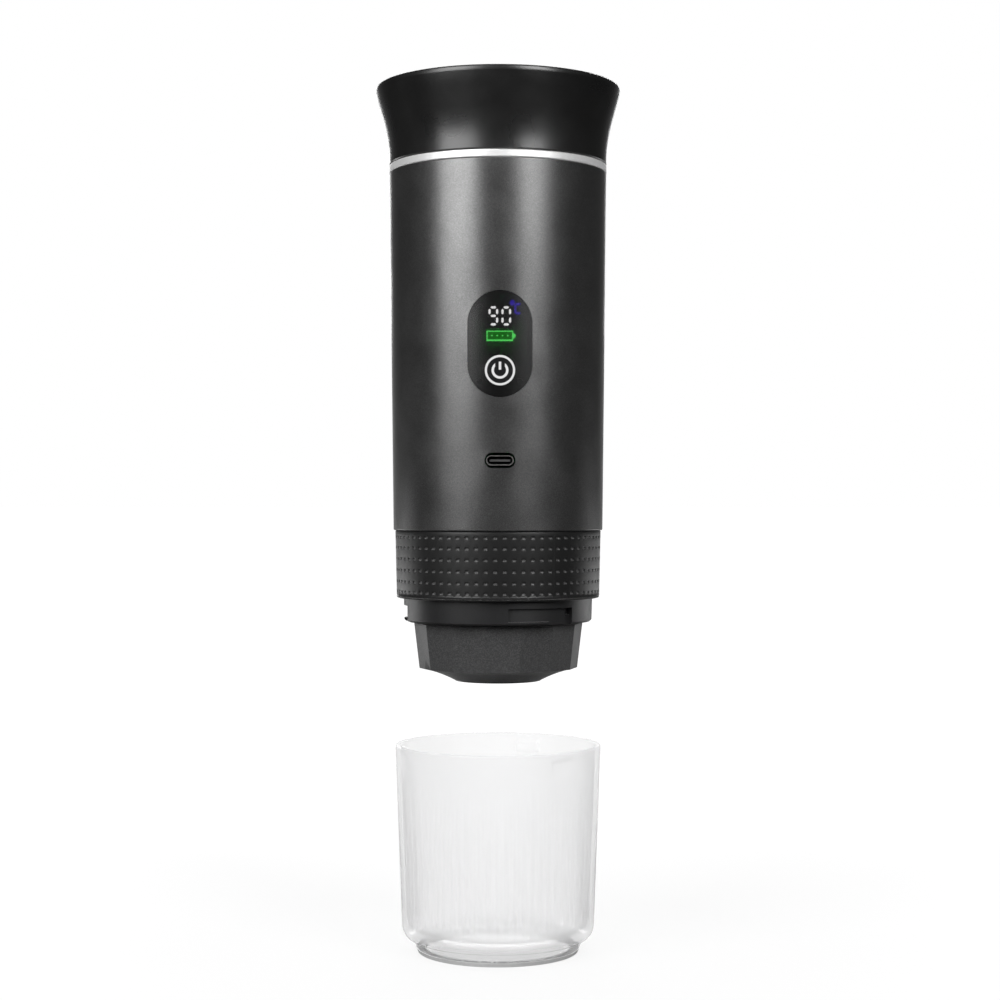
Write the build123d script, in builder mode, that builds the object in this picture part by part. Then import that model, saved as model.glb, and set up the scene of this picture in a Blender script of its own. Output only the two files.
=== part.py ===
from build123d import *
import math
import os

# Portable coffee maker: a battery driven brewing unit, held in the hand above its drinking cup.
# Sizes are in millimetres and degrees. Z is up, the front with the display faces -Y, and
# Z = 0 is the table that the cup stands on. Bearings are counted from the front, positive to +X.

# Clearances
seat_gap = 0.1  # flat faces that part when a piece moves
slide_gap = 0.08  # radial, round pieces that run in each other
wall_gap = 0.3  # round walls beside each other
thread_gap = 0.3  # thread crest to the wall across from it
inlay_gap = 0.05  # a flush piece in its cut-out
cut_past = 1.0  # how far a cut runs past the surface

# Cup
cup_height = 70.0
cup_dock_gap = 1.1  # from the bayonet ring to the rim's inside
cup_draft = 2.25  # how much narrower the base is than the rim
cup_base_height = 9.4
cup_foot_height = 4.4
cup_foot_inset = 3.65  # from the base to the top of the foot
cup_foot_draft = 1.8
cup_foot_width = 2.6
cup_foot_recess = 5.4  # its depth under the floor
cup_wall = 1.8
cup_floor_thickness = 2.6
cup_floor_corner = 3.0
foot_ring_height = 1.4
lug_bearing = 40.0
lug_width_angle = 14.0
lug_height = 3.0
lug_play = 0.4  # above the groove's lip, with the cup in its place
lug_count = 3

# Stack of the unit, from the cup's rim up
lift = 49.9  # from the cup's rim to the grip
dock_seat = 0.3  # what is left of it with the cup in its place
grip_height = 22.8
trim_height = 2.6
lid_seam = 0.2
lid_height = 26.3

# Casing and grip
casing_wall = 1.8
casing_draft = 1.35  # how much wider the casing is at its top
casing_edge = 0.4
grip_inset = 1.1  # of its lower edge, from the casing's
grip_draft = 0.5
grip_wall = 1.75
grip_edge = 0.5
housing_wall = 2.2
housing_spigot_height = 7.5
housing_rise = 0.3  # its lower edge above the grip's
trim_proud = 0.1
trim_width = 2.95

# Screw threads of the lid and of the brewing head
thread_pitch = 4.0
thread_depth = 1.1
thread_root_width = 1.7
thread_crest_width = 0.8
thread_turns = 1.0
thread_sink = 0.3

# Brewing head and what it holds
facet_count = 15
facet_bearing = 14.4
head_seam = 0.6
head_skirt_height = 15.2
head_shoulder_lap = 1.1  # its corners, beyond the bayonet ring's bore
head_draft = 1.8
head_dome_height = 4.0
head_dome_flat = 0.6
head_dome_hollow = 0.4  # how far its section curves inwards
head_spigot_wall = 3.1
head_spigot_height = 8.9
head_thread_start = 2.2
spout_radius = 14.6
spout_drop = 0.4
spout_depth = 1.6
spout_hole_radius = 2.2
basket_flange_inset = 0.6
basket_flange_thickness = 0.7
basket_depth = 19.0
basket_wall = 0.6
basket_hole_radius = 0.6
basket_hole_pitch = 3.4
basket_hole_rings = 5
screen_thickness = 0.4
screen_inset = 1.7

# Bayonet ring
bayonet_height = 8.0
bayonet_inset = 0.65
bayonet_wall = 4.4
bayonet_taper = 0.2
bayonet_edge = 0.6
bayonet_flange_height = 4.1
bayonet_groove_depth = 1.2
bayonet_lip = 1.2
bayonet_groove_top = 2.5  # below the grip
bayonet_turn = 26.0
bayonet_play_angle = 2.0
bayonet_stop_width = 2.2
bayonet_stop_depth = 2.4

# Brewing chamber above the basket
chamber_thickness = 4.5
chamber_boss_inset = 0.4
chamber_boss_height = 2.0
shower_thickness = 0.5
shower_inset = 0.8
shower_hole_radius = 0.7
shower_hole_pitch = 5.2
shower_hole_rings = 3
gasket_gap = 0.8
gasket_width = 2.8
port_radius = 2.6
port_bore_radius = 1.4
port_height = 7.5
ring_screw_count = 3
ring_screw_radius = 0.9
ring_screw_head_radius = 1.4
ring_screw_head_height = 1.4
ring_screw_depth = 3.0

# Inner frame and cells
frame_plate_thickness = 3.2
frame_rise = 0.3  # its underside above the casing's lower edge
column_radius = 2.4
column_inset = 2.35
column_back_angle = 30.0  # each side of the back
column_side_angle = 98.0  # each side of the back
frame_screw_radius = 1.2
frame_screw_head_radius = 2.3
frame_screw_head_height = 1.5
frame_screw_length = 9.0
cell_radius = 9.2
cell_length = 65.0
cell_circle = 21.2
cell_gap = 3.3  # from the cells to the casing
cell_side_angle = 60.0  # each side of the back
cell_cap_radius = 3.0
cell_cap_height = 0.6
link_width = 7.0
link_thickness = 0.2
link_clearance = 1.3

# Pump
pump_offset = 8.0  # towards the front
pump_radius = 12.0
pump_height = 48.5
pump_shell = 0.8
pump_end = 3.0
pump_core_wall = 0.5
pump_plunger_radius = 5.9
pump_plunger_height = 18.0
pump_plunger_bore = 1.2
pump_coil_radius = 10.8
pump_coil_height = 28.0
pump_spring_wire = 0.8
pump_spring_radius = 4.4
pump_spring_height = 12.0
pump_spring_turns = 6.0
pump_nozzle_height = 7.5
mount_ring_height = 4.3
mount_ring_radius = 9.0
hose_wall = 1.05
hose_overlap = 5.0
hose_passage = 4.3

# Tank and heater
tank_gap = 4.1  # from the tank to the casing
tank_wall = 0.6
tank_depth = 36.6
tank_corner = 4.0
tank_flange_width = 3.0
tank_flange_thickness = 0.8
tank_gasket_thickness = 0.3
tank_outlet_length = 6.0
collar_thickness = 3.4
collar_skirt_gap = 0.6
collar_skirt_wall = 3.4
collar_skirt_height = 7.0
heater_inset = 3.6
heater_gap = 3.4  # from the frame to the heater
heater_thickness = 3.2
cutoff_length = 9.0
cutoff_width = 5.0
cutoff_bearing = 205.0
sensor_bearing = 150.0
heater_part_circle = 17.0
sensor_radius = 1.6
sensor_length = 8.0

# Lid
lid_top_flare = 4.45  # beyond the trim ring
lid_middle_flare = 1.65
lid_middle_height = 14.0
lid_top_slope = 0.19
lid_lip_side_round = 2.5
lid_lip_round = 0.9
lid_lip_angle = 17.0  # where its two rounds meet
lid_edge = 0.35
lid_wall = 2.2
lid_rim_width = 3.6
lid_disc_recess = 1.0
lid_disc_thickness = 2.0
lid_web = 2.5
lid_plate_thickness = 2.6
plug_wall = 2.0
plug_depth = 10.4
plug_thread_start = 1.4
lid_seal_inset = 1.4
lid_seal_width = 3.2
lid_post_radius = 2.6
lid_post_inset = 5.55
lid_screw_count = 3
lid_screw_radius = 1.0
lid_screw_head_radius = 1.8
lid_screw_head_height = 1.2
lid_screw_length = 9.0

# Control panel
panel_center_height = 60.7  # above the casing's lower edge
panel_width = 21.0
panel_height = 34.5
panel_thickness = 2.0
peg_radius = 1.0
peg_places = ((-6.5, 12.0), (-6.5, -12.0), (6.5, -12.0))
board_thickness = 1.4
display_setback = 5.58  # from the panel's face to the board's
display_board_width = 18.0
display_board_height = 33.6
button_radius = 4.95
button_travel = 0.6
button_thickness = 1.6
button_stem_radius = 1.5
button_drop = 8.6  # its centre below the panel's
mark_depth = 0.3
button_ring_width = 0.75
icon_radius = 2.75
icon_line = 0.8
icon_gap_angle = 70.0
icon_bar_height = 2.6
switch_size = 6.0
switch_body = 1.5
switch_cap_radius = 1.6
switch_cap = 0.5
digit_height = 6.4
digit_width = 3.3
digit_pitch = 4.2
digit_line = 0.75
digit_gap = 0.25
digits_rise = 8.9  # their centre above the panel's
digit_module_depth = 1.8
digit_light_height = 1.0
digit_frame = 0.5
degree_dot_place = (4.0, 13.7)
degree_dot_radius = 0.75
degree_letter_place = (5.9, 11.4)
degree_letter_radius = 1.5
degree_letter_mouth = 1.3
degree_line = 0.4
degree_depth = 2.0
battery_place = (0.0, 2.8)
battery_mark_width = 8.6
battery_mark_height = 3.5
battery_mark_line = 0.45
battery_tip_width = 0.8
battery_bar_count = 4
battery_bar_width = 1.1
battery_depth = 2.6

# Main board and charging socket
main_board_gap = 2.8  # from the pump to the chips
main_board_margin = 1.27
main_board_height = 39.0
main_board_thickness = 1.6
chip_height = 1.6
# across, rise, width and length of each chip
chip_places = (
    (-7.0, 10.0, 8.0, 8.0),
    (6.0, 12.0, 7.0, 5.0),
    (-5.0, 30.0, 6.0, 9.0),
    (7.0, 29.0, 5.0, 5.0),
)
socket_height = 23.0  # above the casing's lower edge
socket_width = 8.94
socket_thickness = 3.26
socket_wall = 0.3
socket_recess = 0.85
socket_slot_width = 10.0
socket_slot_height = 5.0
tongue_width = 6.7
tongue_thickness = 0.7
tongue_recess = 0.9
socket_back = 1.0
ribbon_width = 9.0
ribbon_thickness = 0.3
ribbon_lap = 3.0

# Levels worked out from the sizes above
grip_bottom = cup_height + lift
grip_top = grip_bottom + grip_height
casing_bottom = grip_top
frame_bottom = casing_bottom + frame_rise
frame_deck = frame_bottom + frame_plate_thickness
cell_top = frame_deck + link_thickness + cell_length
frame_shelf = cell_top + cell_cap_height + link_thickness + link_clearance
frame_top = frame_shelf + frame_plate_thickness
heater_bottom = frame_top + heater_gap
tank_bottom = heater_bottom + heater_thickness
tank_top = tank_bottom + tank_depth
casing_top = tank_top + tank_gasket_thickness + collar_thickness
casing_height = casing_top - casing_bottom
trim_top = casing_top + trim_height
lid_bottom = trim_top + lid_seam
lid_top = lid_bottom + lid_height
bayonet_bottom = grip_bottom - bayonet_height
head_shoulder = bayonet_bottom - head_seam
head_rim = head_shoulder - head_skirt_height
head_bottom = head_rim - head_dome_height
basket_flange_bottom = head_shoulder + head_spigot_height
basket_top = basket_flange_bottom + basket_flange_thickness
basket_bottom = basket_top - basket_depth
chamber_bottom = grip_bottom + bayonet_flange_height
chamber_top = chamber_bottom + chamber_thickness
port_top = chamber_top + port_height
pump_bottom = frame_deck + mount_ring_height
pump_top = pump_bottom + pump_height
plug_bottom = lid_bottom + seat_gap - plug_depth
panel_center = casing_bottom + panel_center_height
button_center = panel_center - button_drop
socket_center = casing_bottom + socket_height

# Widths worked out from the sizes above, from the cells out to the casing and in again
casing_inner = cell_circle + cell_radius + cell_gap
casing_bottom_radius = casing_inner + casing_wall
casing_top_radius = casing_bottom_radius + casing_draft
casing_reach = max(casing_bottom_radius, casing_top_radius) + cut_past
grip_bottom_radius = casing_bottom_radius - grip_inset
grip_top_radius = grip_bottom_radius + grip_draft
housing_radius = grip_bottom_radius - grip_wall
housing_bore = housing_radius - housing_wall
plate_radius = housing_bore - wall_gap
bayonet_radius = housing_radius - bayonet_inset
bayonet_bore = bayonet_radius - bayonet_wall
head_spigot_radius = bayonet_bore - thread_gap - thread_depth
head_top_radius = bayonet_bore + head_shoulder_lap
head_bottom_radius = head_top_radius - head_draft
head_dome_radius = spout_radius + head_dome_flat
well_radius = head_spigot_radius - head_spigot_wall
basket_radius = well_radius - wall_gap
basket_flange_radius = head_spigot_radius - basket_flange_inset
screen_radius = basket_radius - basket_wall - screen_inset
chamber_boss_radius = basket_radius - chamber_boss_inset
shower_radius = chamber_boss_radius - shower_inset
gasket_inner_radius = chamber_boss_radius + gasket_gap
gasket_outer_radius = gasket_inner_radius + gasket_width
cup_rim_radius = bayonet_radius + cup_dock_gap + cup_wall
cup_base_radius = cup_rim_radius - cup_draft
cup_foot_top_radius = cup_base_radius - cup_foot_inset
cup_foot_bottom_radius = cup_foot_top_radius - cup_foot_draft
column_circle = plate_radius - column_inset
tank_radius = casing_inner - tank_gap
tank_flange_radius = tank_radius + tank_flange_width
heater_radius = tank_radius - heater_inset
collar_skirt_radius = tank_radius - tank_wall - collar_skirt_gap
neck_bore = collar_skirt_radius - collar_skirt_wall
plug_radius = neck_bore - thread_gap - thread_depth
lid_seal_inner_radius = neck_bore + lid_seal_inset
lid_seal_outer_radius = lid_seal_inner_radius + lid_seal_width
trim_radius = casing_top_radius + trim_proud
lid_middle_radius = trim_radius + lid_middle_flare
lid_top_radius = trim_radius + lid_top_flare
lid_post_circle = trim_radius - lid_post_inset
main_board_depth = pump_offset + pump_radius + main_board_gap + chip_height + main_board_thickness
main_board_width = 2 * (math.sqrt(plate_radius**2 - main_board_depth**2) - main_board_margin)
pump_place = (0.0, -pump_offset)
full_turn = 360.0
back = 180.0  # the back's bearing
front = -90.0  # the front's polar angle
column_bearings = (
    back - column_side_angle,
    back - column_back_angle,
    back + column_back_angle,
    back + column_side_angle,
)
cell_bearings = {
    "left": back + cell_side_angle,
    "back": back,
    "right": back - cell_side_angle,
}


def casing_radius(height):
    """The casing's outer radius at a height."""
    share = (height - casing_bottom) / casing_height
    return casing_bottom_radius + (casing_top_radius - casing_bottom_radius) * share


# Depths behind the casing's face at the panel and at the socket
display_board_depth = casing_radius(panel_center) - display_setback
socket_mouth = casing_radius(socket_center) - socket_recess


def foot_radius(height):
    """The cup foot's outer radius at a height."""
    share = height / cup_foot_height
    return cup_foot_bottom_radius + (cup_foot_top_radius - cup_foot_bottom_radius) * share


def cup_inner_radius(height):
    """The radius of the cup's straight inner wall at a height."""
    share = (height - cup_base_height) / (cup_height - cup_base_height)
    return cup_base_radius + (cup_rim_radius - cup_base_radius) * share - cup_wall


def place(circle, bearing):
    """The X and Y of a point on a circle at a bearing from the front."""
    angle = math.radians(front + bearing)
    return (circle * math.cos(angle), circle * math.sin(angle))


def rod(radius, bottom, height, at=(0.0, 0.0), mode=Mode.ADD):
    """An upright cylinder in the open part."""
    with Locations((at[0], at[1], bottom)):
        Cylinder(radius, height, align=(Align.CENTER, Align.CENTER, Align.MIN), mode=mode)


def tube(outer, inner, bottom, height, at=(0.0, 0.0)):
    """An upright tube in the open part."""
    rod(outer, bottom, height, at)
    rod(inner, bottom, height, at, mode=Mode.SUBTRACT)


def turned(points, mode=Mode.ADD):
    """A solid of revolution in the open part, from radius and height points."""
    with BuildSketch(Plane.XZ) as profile:
        with BuildLine():
            Polyline(*points, close=True)
        make_face()
    revolve(profile.sketch, axis=Axis.Z, mode=mode)


def thread(radius, start, outward, mode=Mode.ADD):
    """A screw thread's ridge on a wall of the open part, right handed and rising from its start."""
    reach = thread_depth if outward else -thread_depth
    sink = -thread_sink if outward else thread_sink
    with BuildLine(Plane.XY.offset(start)) as path:
        Helix(pitch=thread_pitch, height=thread_pitch * thread_turns, radius=radius)
    ridge_plane = Plane(origin=path.line @ 0, x_dir=(1, 0, 0), z_dir=path.line % 0)
    with BuildSketch(ridge_plane) as ridge:
        with BuildLine():
            Polyline(
                (sink, -thread_root_width / 2),
                (reach, -thread_crest_width / 2),
                (reach, thread_crest_width / 2),
                (sink, thread_root_width / 2),
                close=True,
            )
        make_face()
    sweep(ridge.sketch, path=path.line, is_frenet=True, mode=mode)


def sector(inner, outer, bearing, width, bottom, height, mode=Mode.ADD):
    """A piece of an upright tube in the open part, about a bearing."""
    start = front + bearing - width / 2
    with BuildSketch(Plane.XY.offset(bottom)) as outline:
        with BuildLine():
            outer_arc = CenterArc((0, 0), outer, start, width)
            inner_arc = CenterArc((0, 0), inner, start, width)
            Line(outer_arc @ 0, inner_arc @ 0)
            Line(outer_arc @ 1, inner_arc @ 1)
        make_face()
    extrude(outline.sketch, amount=height, mode=mode)


def skin(outer_inset, inner_inset):
    """A band of the casing's own surface behind the panel, in the open part."""
    low = panel_center - panel_height
    high = panel_center + panel_height
    turned(
        (
            (casing_radius(low) - outer_inset, low),
            (casing_radius(high) - outer_inset, high),
            (casing_radius(high) - inner_inset, high),
            (casing_radius(low) - inner_inset, low),
        )
    )


def outer_rims(piece):
    """The lowest and the highest outer circle of a round piece."""
    rims = piece.edges().filter_by(GeomType.CIRCLE).group_by(Axis.Z)
    return [rims[0].sort_by(SortBy.RADIUS)[-1], rims[-1].sort_by(SortBy.RADIUS)[-1]]


def round_holes(radius, pitch, rings, bottom, height):
    """Rings of round holes through a disc of the open part, evenly spaced."""
    rod(radius, bottom, height, mode=Mode.SUBTRACT)
    for ring in range(1, rings + 1):
        with BuildSketch(Plane.XY.offset(bottom)) as holes:
            with PolarLocations(ring * pitch, 6 * ring):
                Circle(radius)
        extrude(holes.sketch, amount=height, mode=Mode.SUBTRACT)


# Cup: tapering wall with a rounded shoulder, an inset foot and bayonet lugs inside the rim
floor_top = cup_foot_recess + cup_floor_thickness
foot_inner_radius = cup_foot_bottom_radius - cup_foot_width
rim_round = cup_wall / 2
lug_top = cup_height + dock_seat - bayonet_height + bayonet_lip + lug_play + lug_height
groove_floor = bayonet_radius - bayonet_groove_depth

with BuildPart() as cup:
    with BuildSketch(Plane.XZ):
        with BuildLine():
            foot = Polyline(
                (0, cup_foot_recess),
                (foot_inner_radius, cup_foot_recess),
                (foot_inner_radius, foot_ring_height),
                (foot_radius(foot_ring_height), foot_ring_height),
                (cup_foot_top_radius, cup_foot_height),
            )
            shoulder = TangentArc(
                foot @ 1, (cup_base_radius, cup_base_height), tangent=(1, 0)
            )
            wall = Line(shoulder @ 1, (cup_rim_radius, cup_height - rim_round))
            rim = TangentArc(
                wall @ 1, (cup_rim_radius - cup_wall, cup_height - rim_round), tangent=(0, 1)
            )
            corner_top = floor_top + cup_floor_corner
            inner_wall = Line(rim @ 1, (cup_inner_radius(corner_top), corner_top))
            corner = TangentArc(
                inner_wall @ 1,
                (cup_inner_radius(corner_top) - cup_floor_corner, floor_top),
                tangent=(0, -1),
            )
            Line(corner @ 1, (0, floor_top))
            Line((0, floor_top), (0, cup_foot_recess))
        make_face()
    revolve(axis=Axis.Z)
    for lug in range(lug_count):
        sector(
            groove_floor + wall_gap,
            cup_inner_radius(lug_top) + cup_wall / 2,
            lug_bearing + lug * full_turn / lug_count,
            lug_width_angle,
            lug_top - lug_height,
            lug_height,
        )

# Soft ring under the cup's foot
with BuildPart() as cup_foot_ring:
    turned(
        (
            (foot_inner_radius, 0),
            (foot_radius(0), 0),
            (foot_radius(foot_ring_height), foot_ring_height),
            (foot_inner_radius, foot_ring_height),
        )
    )

# Brewing head: faceted skirt, domed underside and a threaded spigot
with BuildPart() as brew_head:
    facet_turn = front + facet_bearing
    with BuildSketch(Plane.XY.offset(head_rim)):
        RegularPolygon(head_bottom_radius, facet_count, rotation=facet_turn)
    with BuildSketch(Plane.XY.offset(head_shoulder)):
        RegularPolygon(head_top_radius, facet_count, rotation=facet_turn)
    loft(ruled=True)
    rod(head_spigot_radius, head_shoulder, head_spigot_height)
    dome_radius = head_bottom_radius * math.cos(math.pi / facet_count)
    with BuildSketch(Plane.XZ):
        with BuildLine():
            dome = SagittaArc(
                (head_dome_radius, head_bottom), (dome_radius, head_rim), head_dome_hollow
            )
            Polyline(dome @ 1, (0, head_rim), (0, head_bottom), dome @ 0)
        make_face()
    revolve(axis=Axis.Z)
    rod(well_radius, basket_bottom - wall_gap, basket_depth, mode=Mode.SUBTRACT)
    rod(
        spout_radius + inlay_gap,
        head_bottom - spout_drop,
        spout_depth + spout_drop,
        mode=Mode.SUBTRACT,
    )
    rod(spout_hole_radius, head_bottom, basket_bottom - head_bottom, mode=Mode.SUBTRACT)
    thread(head_spigot_radius, head_shoulder + head_thread_start, outward=True)

# Disc with the spout hole, set in the head's underside
with BuildPart() as spout_disc:
    tube(spout_radius, spout_hole_radius, head_bottom - spout_drop, spout_depth + spout_drop)

# Coffee basket: thin steel cup with a flange and a perforated floor
with BuildPart() as coffee_basket:
    rod(basket_radius, basket_bottom, basket_depth)
    rod(basket_flange_radius, basket_flange_bottom, basket_flange_thickness)
    rod(
        basket_radius - basket_wall,
        basket_bottom + basket_wall,
        basket_depth,
        mode=Mode.SUBTRACT,
    )
    round_holes(
        basket_hole_radius,
        basket_hole_pitch,
        basket_hole_rings,
        basket_bottom,
        basket_wall,
    )

# Fine screen lying on the basket's floor
with BuildPart() as basket_screen:
    rod(screen_radius, basket_bottom + basket_wall, screen_thickness)

# Bayonet ring: inner thread for the head, grooves outside for the cup's lugs
with BuildPart() as bayonet_ring:
    turned(
        (
            (bayonet_bore, bayonet_bottom),
            (bayonet_radius - bayonet_taper - bayonet_edge, bayonet_bottom),
            (bayonet_radius - bayonet_taper, bayonet_bottom + bayonet_edge),
            (bayonet_radius, grip_bottom),
            (plate_radius, grip_bottom),
            (plate_radius, chamber_bottom),
            (bayonet_bore, chamber_bottom),
        )
    )
    groove_top = grip_bottom - bayonet_groove_top
    lip_top = bayonet_bottom + bayonet_lip
    entry_width = lug_width_angle + 2 * bayonet_play_angle
    groove_width = entry_width + bayonet_turn
    for lug in range(lug_count):
        entry_bearing = lug_bearing + lug * full_turn / lug_count
        sector(
            groove_floor,
            bayonet_radius + cut_past,
            entry_bearing,
            entry_width,
            bayonet_bottom - cut_past,
            groove_top - bayonet_bottom + cut_past,
            mode=Mode.SUBTRACT,
        )
        sector(
            groove_floor,
            bayonet_radius + cut_past,
            entry_bearing - bayonet_turn / 2,
            groove_width,
            lip_top,
            groove_top - lip_top,
            mode=Mode.SUBTRACT,
        )
        sector(
            bayonet_radius - bayonet_stop_depth,
            bayonet_radius + cut_past,
            entry_bearing + entry_width / 2 - math.degrees(bayonet_stop_width / 2 / bayonet_radius),
            math.degrees(bayonet_stop_width / bayonet_radius),
            groove_top - bayonet_stop_width,
            bayonet_stop_width,
            mode=Mode.SUBTRACT,
        )
    thread(
        bayonet_bore,
        head_shoulder + head_thread_start + thread_pitch / 2,
        outward=False,
    )
    for screw in range(ring_screw_count):
        rod(
            ring_screw_radius,
            chamber_bottom - ring_screw_depth,
            ring_screw_depth,
            at=place((bayonet_bore + plate_radius) / 2, screw * full_turn / ring_screw_count),
            mode=Mode.SUBTRACT,
        )

# Lower housing behind the grip, with a spigot up into the casing
housing_bottom = grip_bottom + housing_rise
with BuildPart() as lower_housing:
    rod(housing_radius, housing_bottom, grip_top - housing_bottom)
    rod(casing_inner - inlay_gap, grip_top, housing_spigot_height)
    rod(
        housing_bore,
        housing_bottom,
        grip_top - housing_bottom + housing_spigot_height,
        mode=Mode.SUBTRACT,
    )

# Rubber grip stretched over the lower housing
with BuildPart() as grip_sleeve:
    turned(
        (
            (housing_radius, grip_bottom),
            (grip_bottom_radius, grip_bottom),
            (grip_top_radius, grip_top - inlay_gap),
            (housing_radius, grip_top - inlay_gap),
        )
    )
    fillet(outer_rims(grip_sleeve), radius=grip_edge)

# Brewing chamber: lid of the basket, with the water inlet on top
port_place = pump_place
with BuildPart() as brew_chamber:
    rod(plate_radius, chamber_bottom, chamber_thickness)
    rod(
        chamber_boss_radius,
        chamber_bottom - chamber_boss_height,
        chamber_boss_height,
    )
    rod(port_radius, chamber_top, port_height, at=port_place)
    rod(
        port_bore_radius,
        chamber_bottom - chamber_boss_height,
        chamber_boss_height + chamber_thickness + port_height,
        at=port_place,
        mode=Mode.SUBTRACT,
    )
    for screw in range(ring_screw_count):
        rod(
            ring_screw_radius,
            chamber_bottom,
            chamber_thickness,
            at=place((bayonet_bore + plate_radius) / 2, screw * full_turn / ring_screw_count),
            mode=Mode.SUBTRACT,
        )

# Screws that hold the bayonet ring under the brewing chamber
with BuildPart() as ring_screws:
    for screw in range(ring_screw_count):
        screw_place = place((bayonet_bore + plate_radius) / 2, screw * full_turn / ring_screw_count)
        rod(
            ring_screw_radius,
            chamber_bottom - ring_screw_depth,
            ring_screw_depth + chamber_thickness,
            at=screw_place,
        )
        rod(ring_screw_head_radius, chamber_top, ring_screw_head_height, at=screw_place)

# Perforated plate that spreads the water over the coffee
with BuildPart() as shower_plate:
    shower_bottom = chamber_bottom - chamber_boss_height - shower_thickness
    rod(shower_radius, shower_bottom, shower_thickness)
    round_holes(
        shower_hole_radius,
        shower_hole_pitch,
        shower_hole_rings,
        shower_bottom,
        shower_thickness,
    )

# Ring gasket above the basket's flange
with BuildPart() as brew_gasket:
    tube(
        gasket_outer_radius,
        gasket_inner_radius,
        basket_top + seat_gap,
        chamber_bottom - basket_top - seat_gap,
    )

# Casing: drafted metal tube with cut-outs for the panel and the charging socket
with BuildPart() as outer_casing:
    turned(
        (
            (casing_inner, casing_bottom),
            (casing_bottom_radius, casing_bottom),
            (casing_top_radius, casing_top),
            (casing_top_radius - casing_wall, casing_top),
        )
    )
    fillet(outer_rims(outer_casing), radius=casing_edge)
    with BuildSketch(Plane.XZ):
        with Locations((0, panel_center)):
            SlotOverall(
                panel_height + 2 * inlay_gap, panel_width + 2 * inlay_gap, rotation=90
            )
        with Locations((0, socket_center)):
            SlotOverall(socket_slot_width, socket_slot_height)
    extrude(amount=casing_reach, mode=Mode.SUBTRACT)

# Bright ring between the casing and the lid
with BuildPart() as trim_ring:
    tube(trim_radius, trim_radius - trim_width, casing_top, trim_height)
    fillet(outer_rims(trim_ring), radius=casing_edge)

# Inner frame: deck, shelf and four columns that carry the cells and the pump
shelf_radius = casing_radius(frame_shelf) - casing_wall - wall_gap
with BuildPart() as inner_frame:
    rod(plate_radius, frame_bottom, frame_plate_thickness)
    rod(shelf_radius, frame_shelf, frame_plate_thickness)
    for bearing in column_bearings:
        rod(
            column_radius,
            frame_deck,
            frame_shelf - frame_deck,
            at=place(column_circle, bearing),
        )
        rod(
            frame_screw_radius,
            frame_top - frame_screw_length,
            frame_screw_length,
            at=place(column_circle, bearing),
            mode=Mode.SUBTRACT,
        )
    rod(hose_passage, frame_bottom, frame_plate_thickness, at=pump_place, mode=Mode.SUBTRACT)
    rod(hose_passage, frame_shelf, frame_plate_thickness, at=pump_place, mode=Mode.SUBTRACT)
    with Locations((0, -display_board_depth, frame_shelf)):
        Box(
            display_board_width + 2 * wall_gap,
            2 * (board_thickness + wall_gap),
            frame_plate_thickness,
            align=(Align.CENTER, Align.CENTER, Align.MIN),
            mode=Mode.SUBTRACT,
        )
    with Locations((0, -shelf_radius - board_thickness, frame_shelf)):
        Box(
            display_board_width + 2 * wall_gap,
            2 * (shelf_radius + board_thickness - display_board_depth),
            frame_plate_thickness,
            align=(Align.CENTER, Align.CENTER, Align.MIN),
            mode=Mode.SUBTRACT,
        )

# Screws down into the frame's columns
with BuildPart() as frame_screws:
    for bearing in column_bearings:
        screw_place = place(column_circle, bearing)
        rod(frame_screw_radius, frame_top - frame_screw_length, frame_screw_length, at=screw_place)
        rod(frame_screw_head_radius, frame_top, frame_screw_head_height, at=screw_place)

# Three cells standing round the back of the pump
cells = {}
for side, bearing in cell_bearings.items():
    with BuildPart() as cell:
        cell_place = place(cell_circle, bearing)
        rod(cell_radius, frame_deck + link_thickness, cell_length, at=cell_place)
        rod(cell_cap_radius, cell_top, cell_cap_height, at=cell_place)
    cells[side] = cell

# Metal strips that join the cells, one above and one below
with BuildPart() as cell_links:
    for first, second, bottom in (
        ("left", "back", cell_top + cell_cap_height),
        ("back", "right", frame_deck),
    ):
        start = Vector(*place(cell_circle, cell_bearings[first]))
        end = Vector(*place(cell_circle, cell_bearings[second]))
        with BuildSketch(Plane.XY.offset(bottom)):
            with Locations((start + end) * 0.5):
                SlotOverall(
                    (end - start).length + link_width,
                    link_width,
                    rotation=math.degrees(math.atan2(end.Y - start.Y, end.X - start.X)),
                )
        extrude(amount=link_thickness)

# Pump: steel can with end caps, a core tube and a nozzle at each end
core_bore = pump_plunger_radius + slide_gap
core_radius = core_bore + pump_core_wall
with BuildPart() as pump_body:
    rod(pump_radius, pump_bottom, pump_height, at=pump_place)
    rod(
        pump_radius - pump_shell,
        pump_bottom + pump_end,
        pump_height - 2 * pump_end,
        at=pump_place,
        mode=Mode.SUBTRACT,
    )
    rod(core_radius, pump_bottom + pump_end, pump_height - 2 * pump_end, at=pump_place)
    rod(port_radius, pump_bottom - pump_nozzle_height, pump_nozzle_height, at=pump_place)
    rod(port_radius, pump_top, pump_nozzle_height, at=pump_place)
    rod(
        port_bore_radius,
        pump_bottom - pump_nozzle_height,
        pump_height + 2 * pump_nozzle_height,
        at=pump_place,
        mode=Mode.SUBTRACT,
    )
    rod(
        core_bore,
        pump_bottom + pump_end,
        pump_height - 2 * pump_end,
        at=pump_place,
        mode=Mode.SUBTRACT,
    )

# Winding round the pump's core tube
with BuildPart() as pump_coil:
    coil_bottom = pump_bottom + (pump_height - pump_coil_height) / 2
    tube(pump_coil_radius, core_radius, coil_bottom, pump_coil_height, at=pump_place)

# Plunger with a through bore, standing on its spring
plunger_bottom = pump_bottom + pump_end + pump_spring_height
with BuildPart() as pump_plunger:
    tube(
        pump_plunger_radius,
        pump_plunger_bore,
        plunger_bottom,
        pump_plunger_height,
        at=pump_place,
    )

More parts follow.
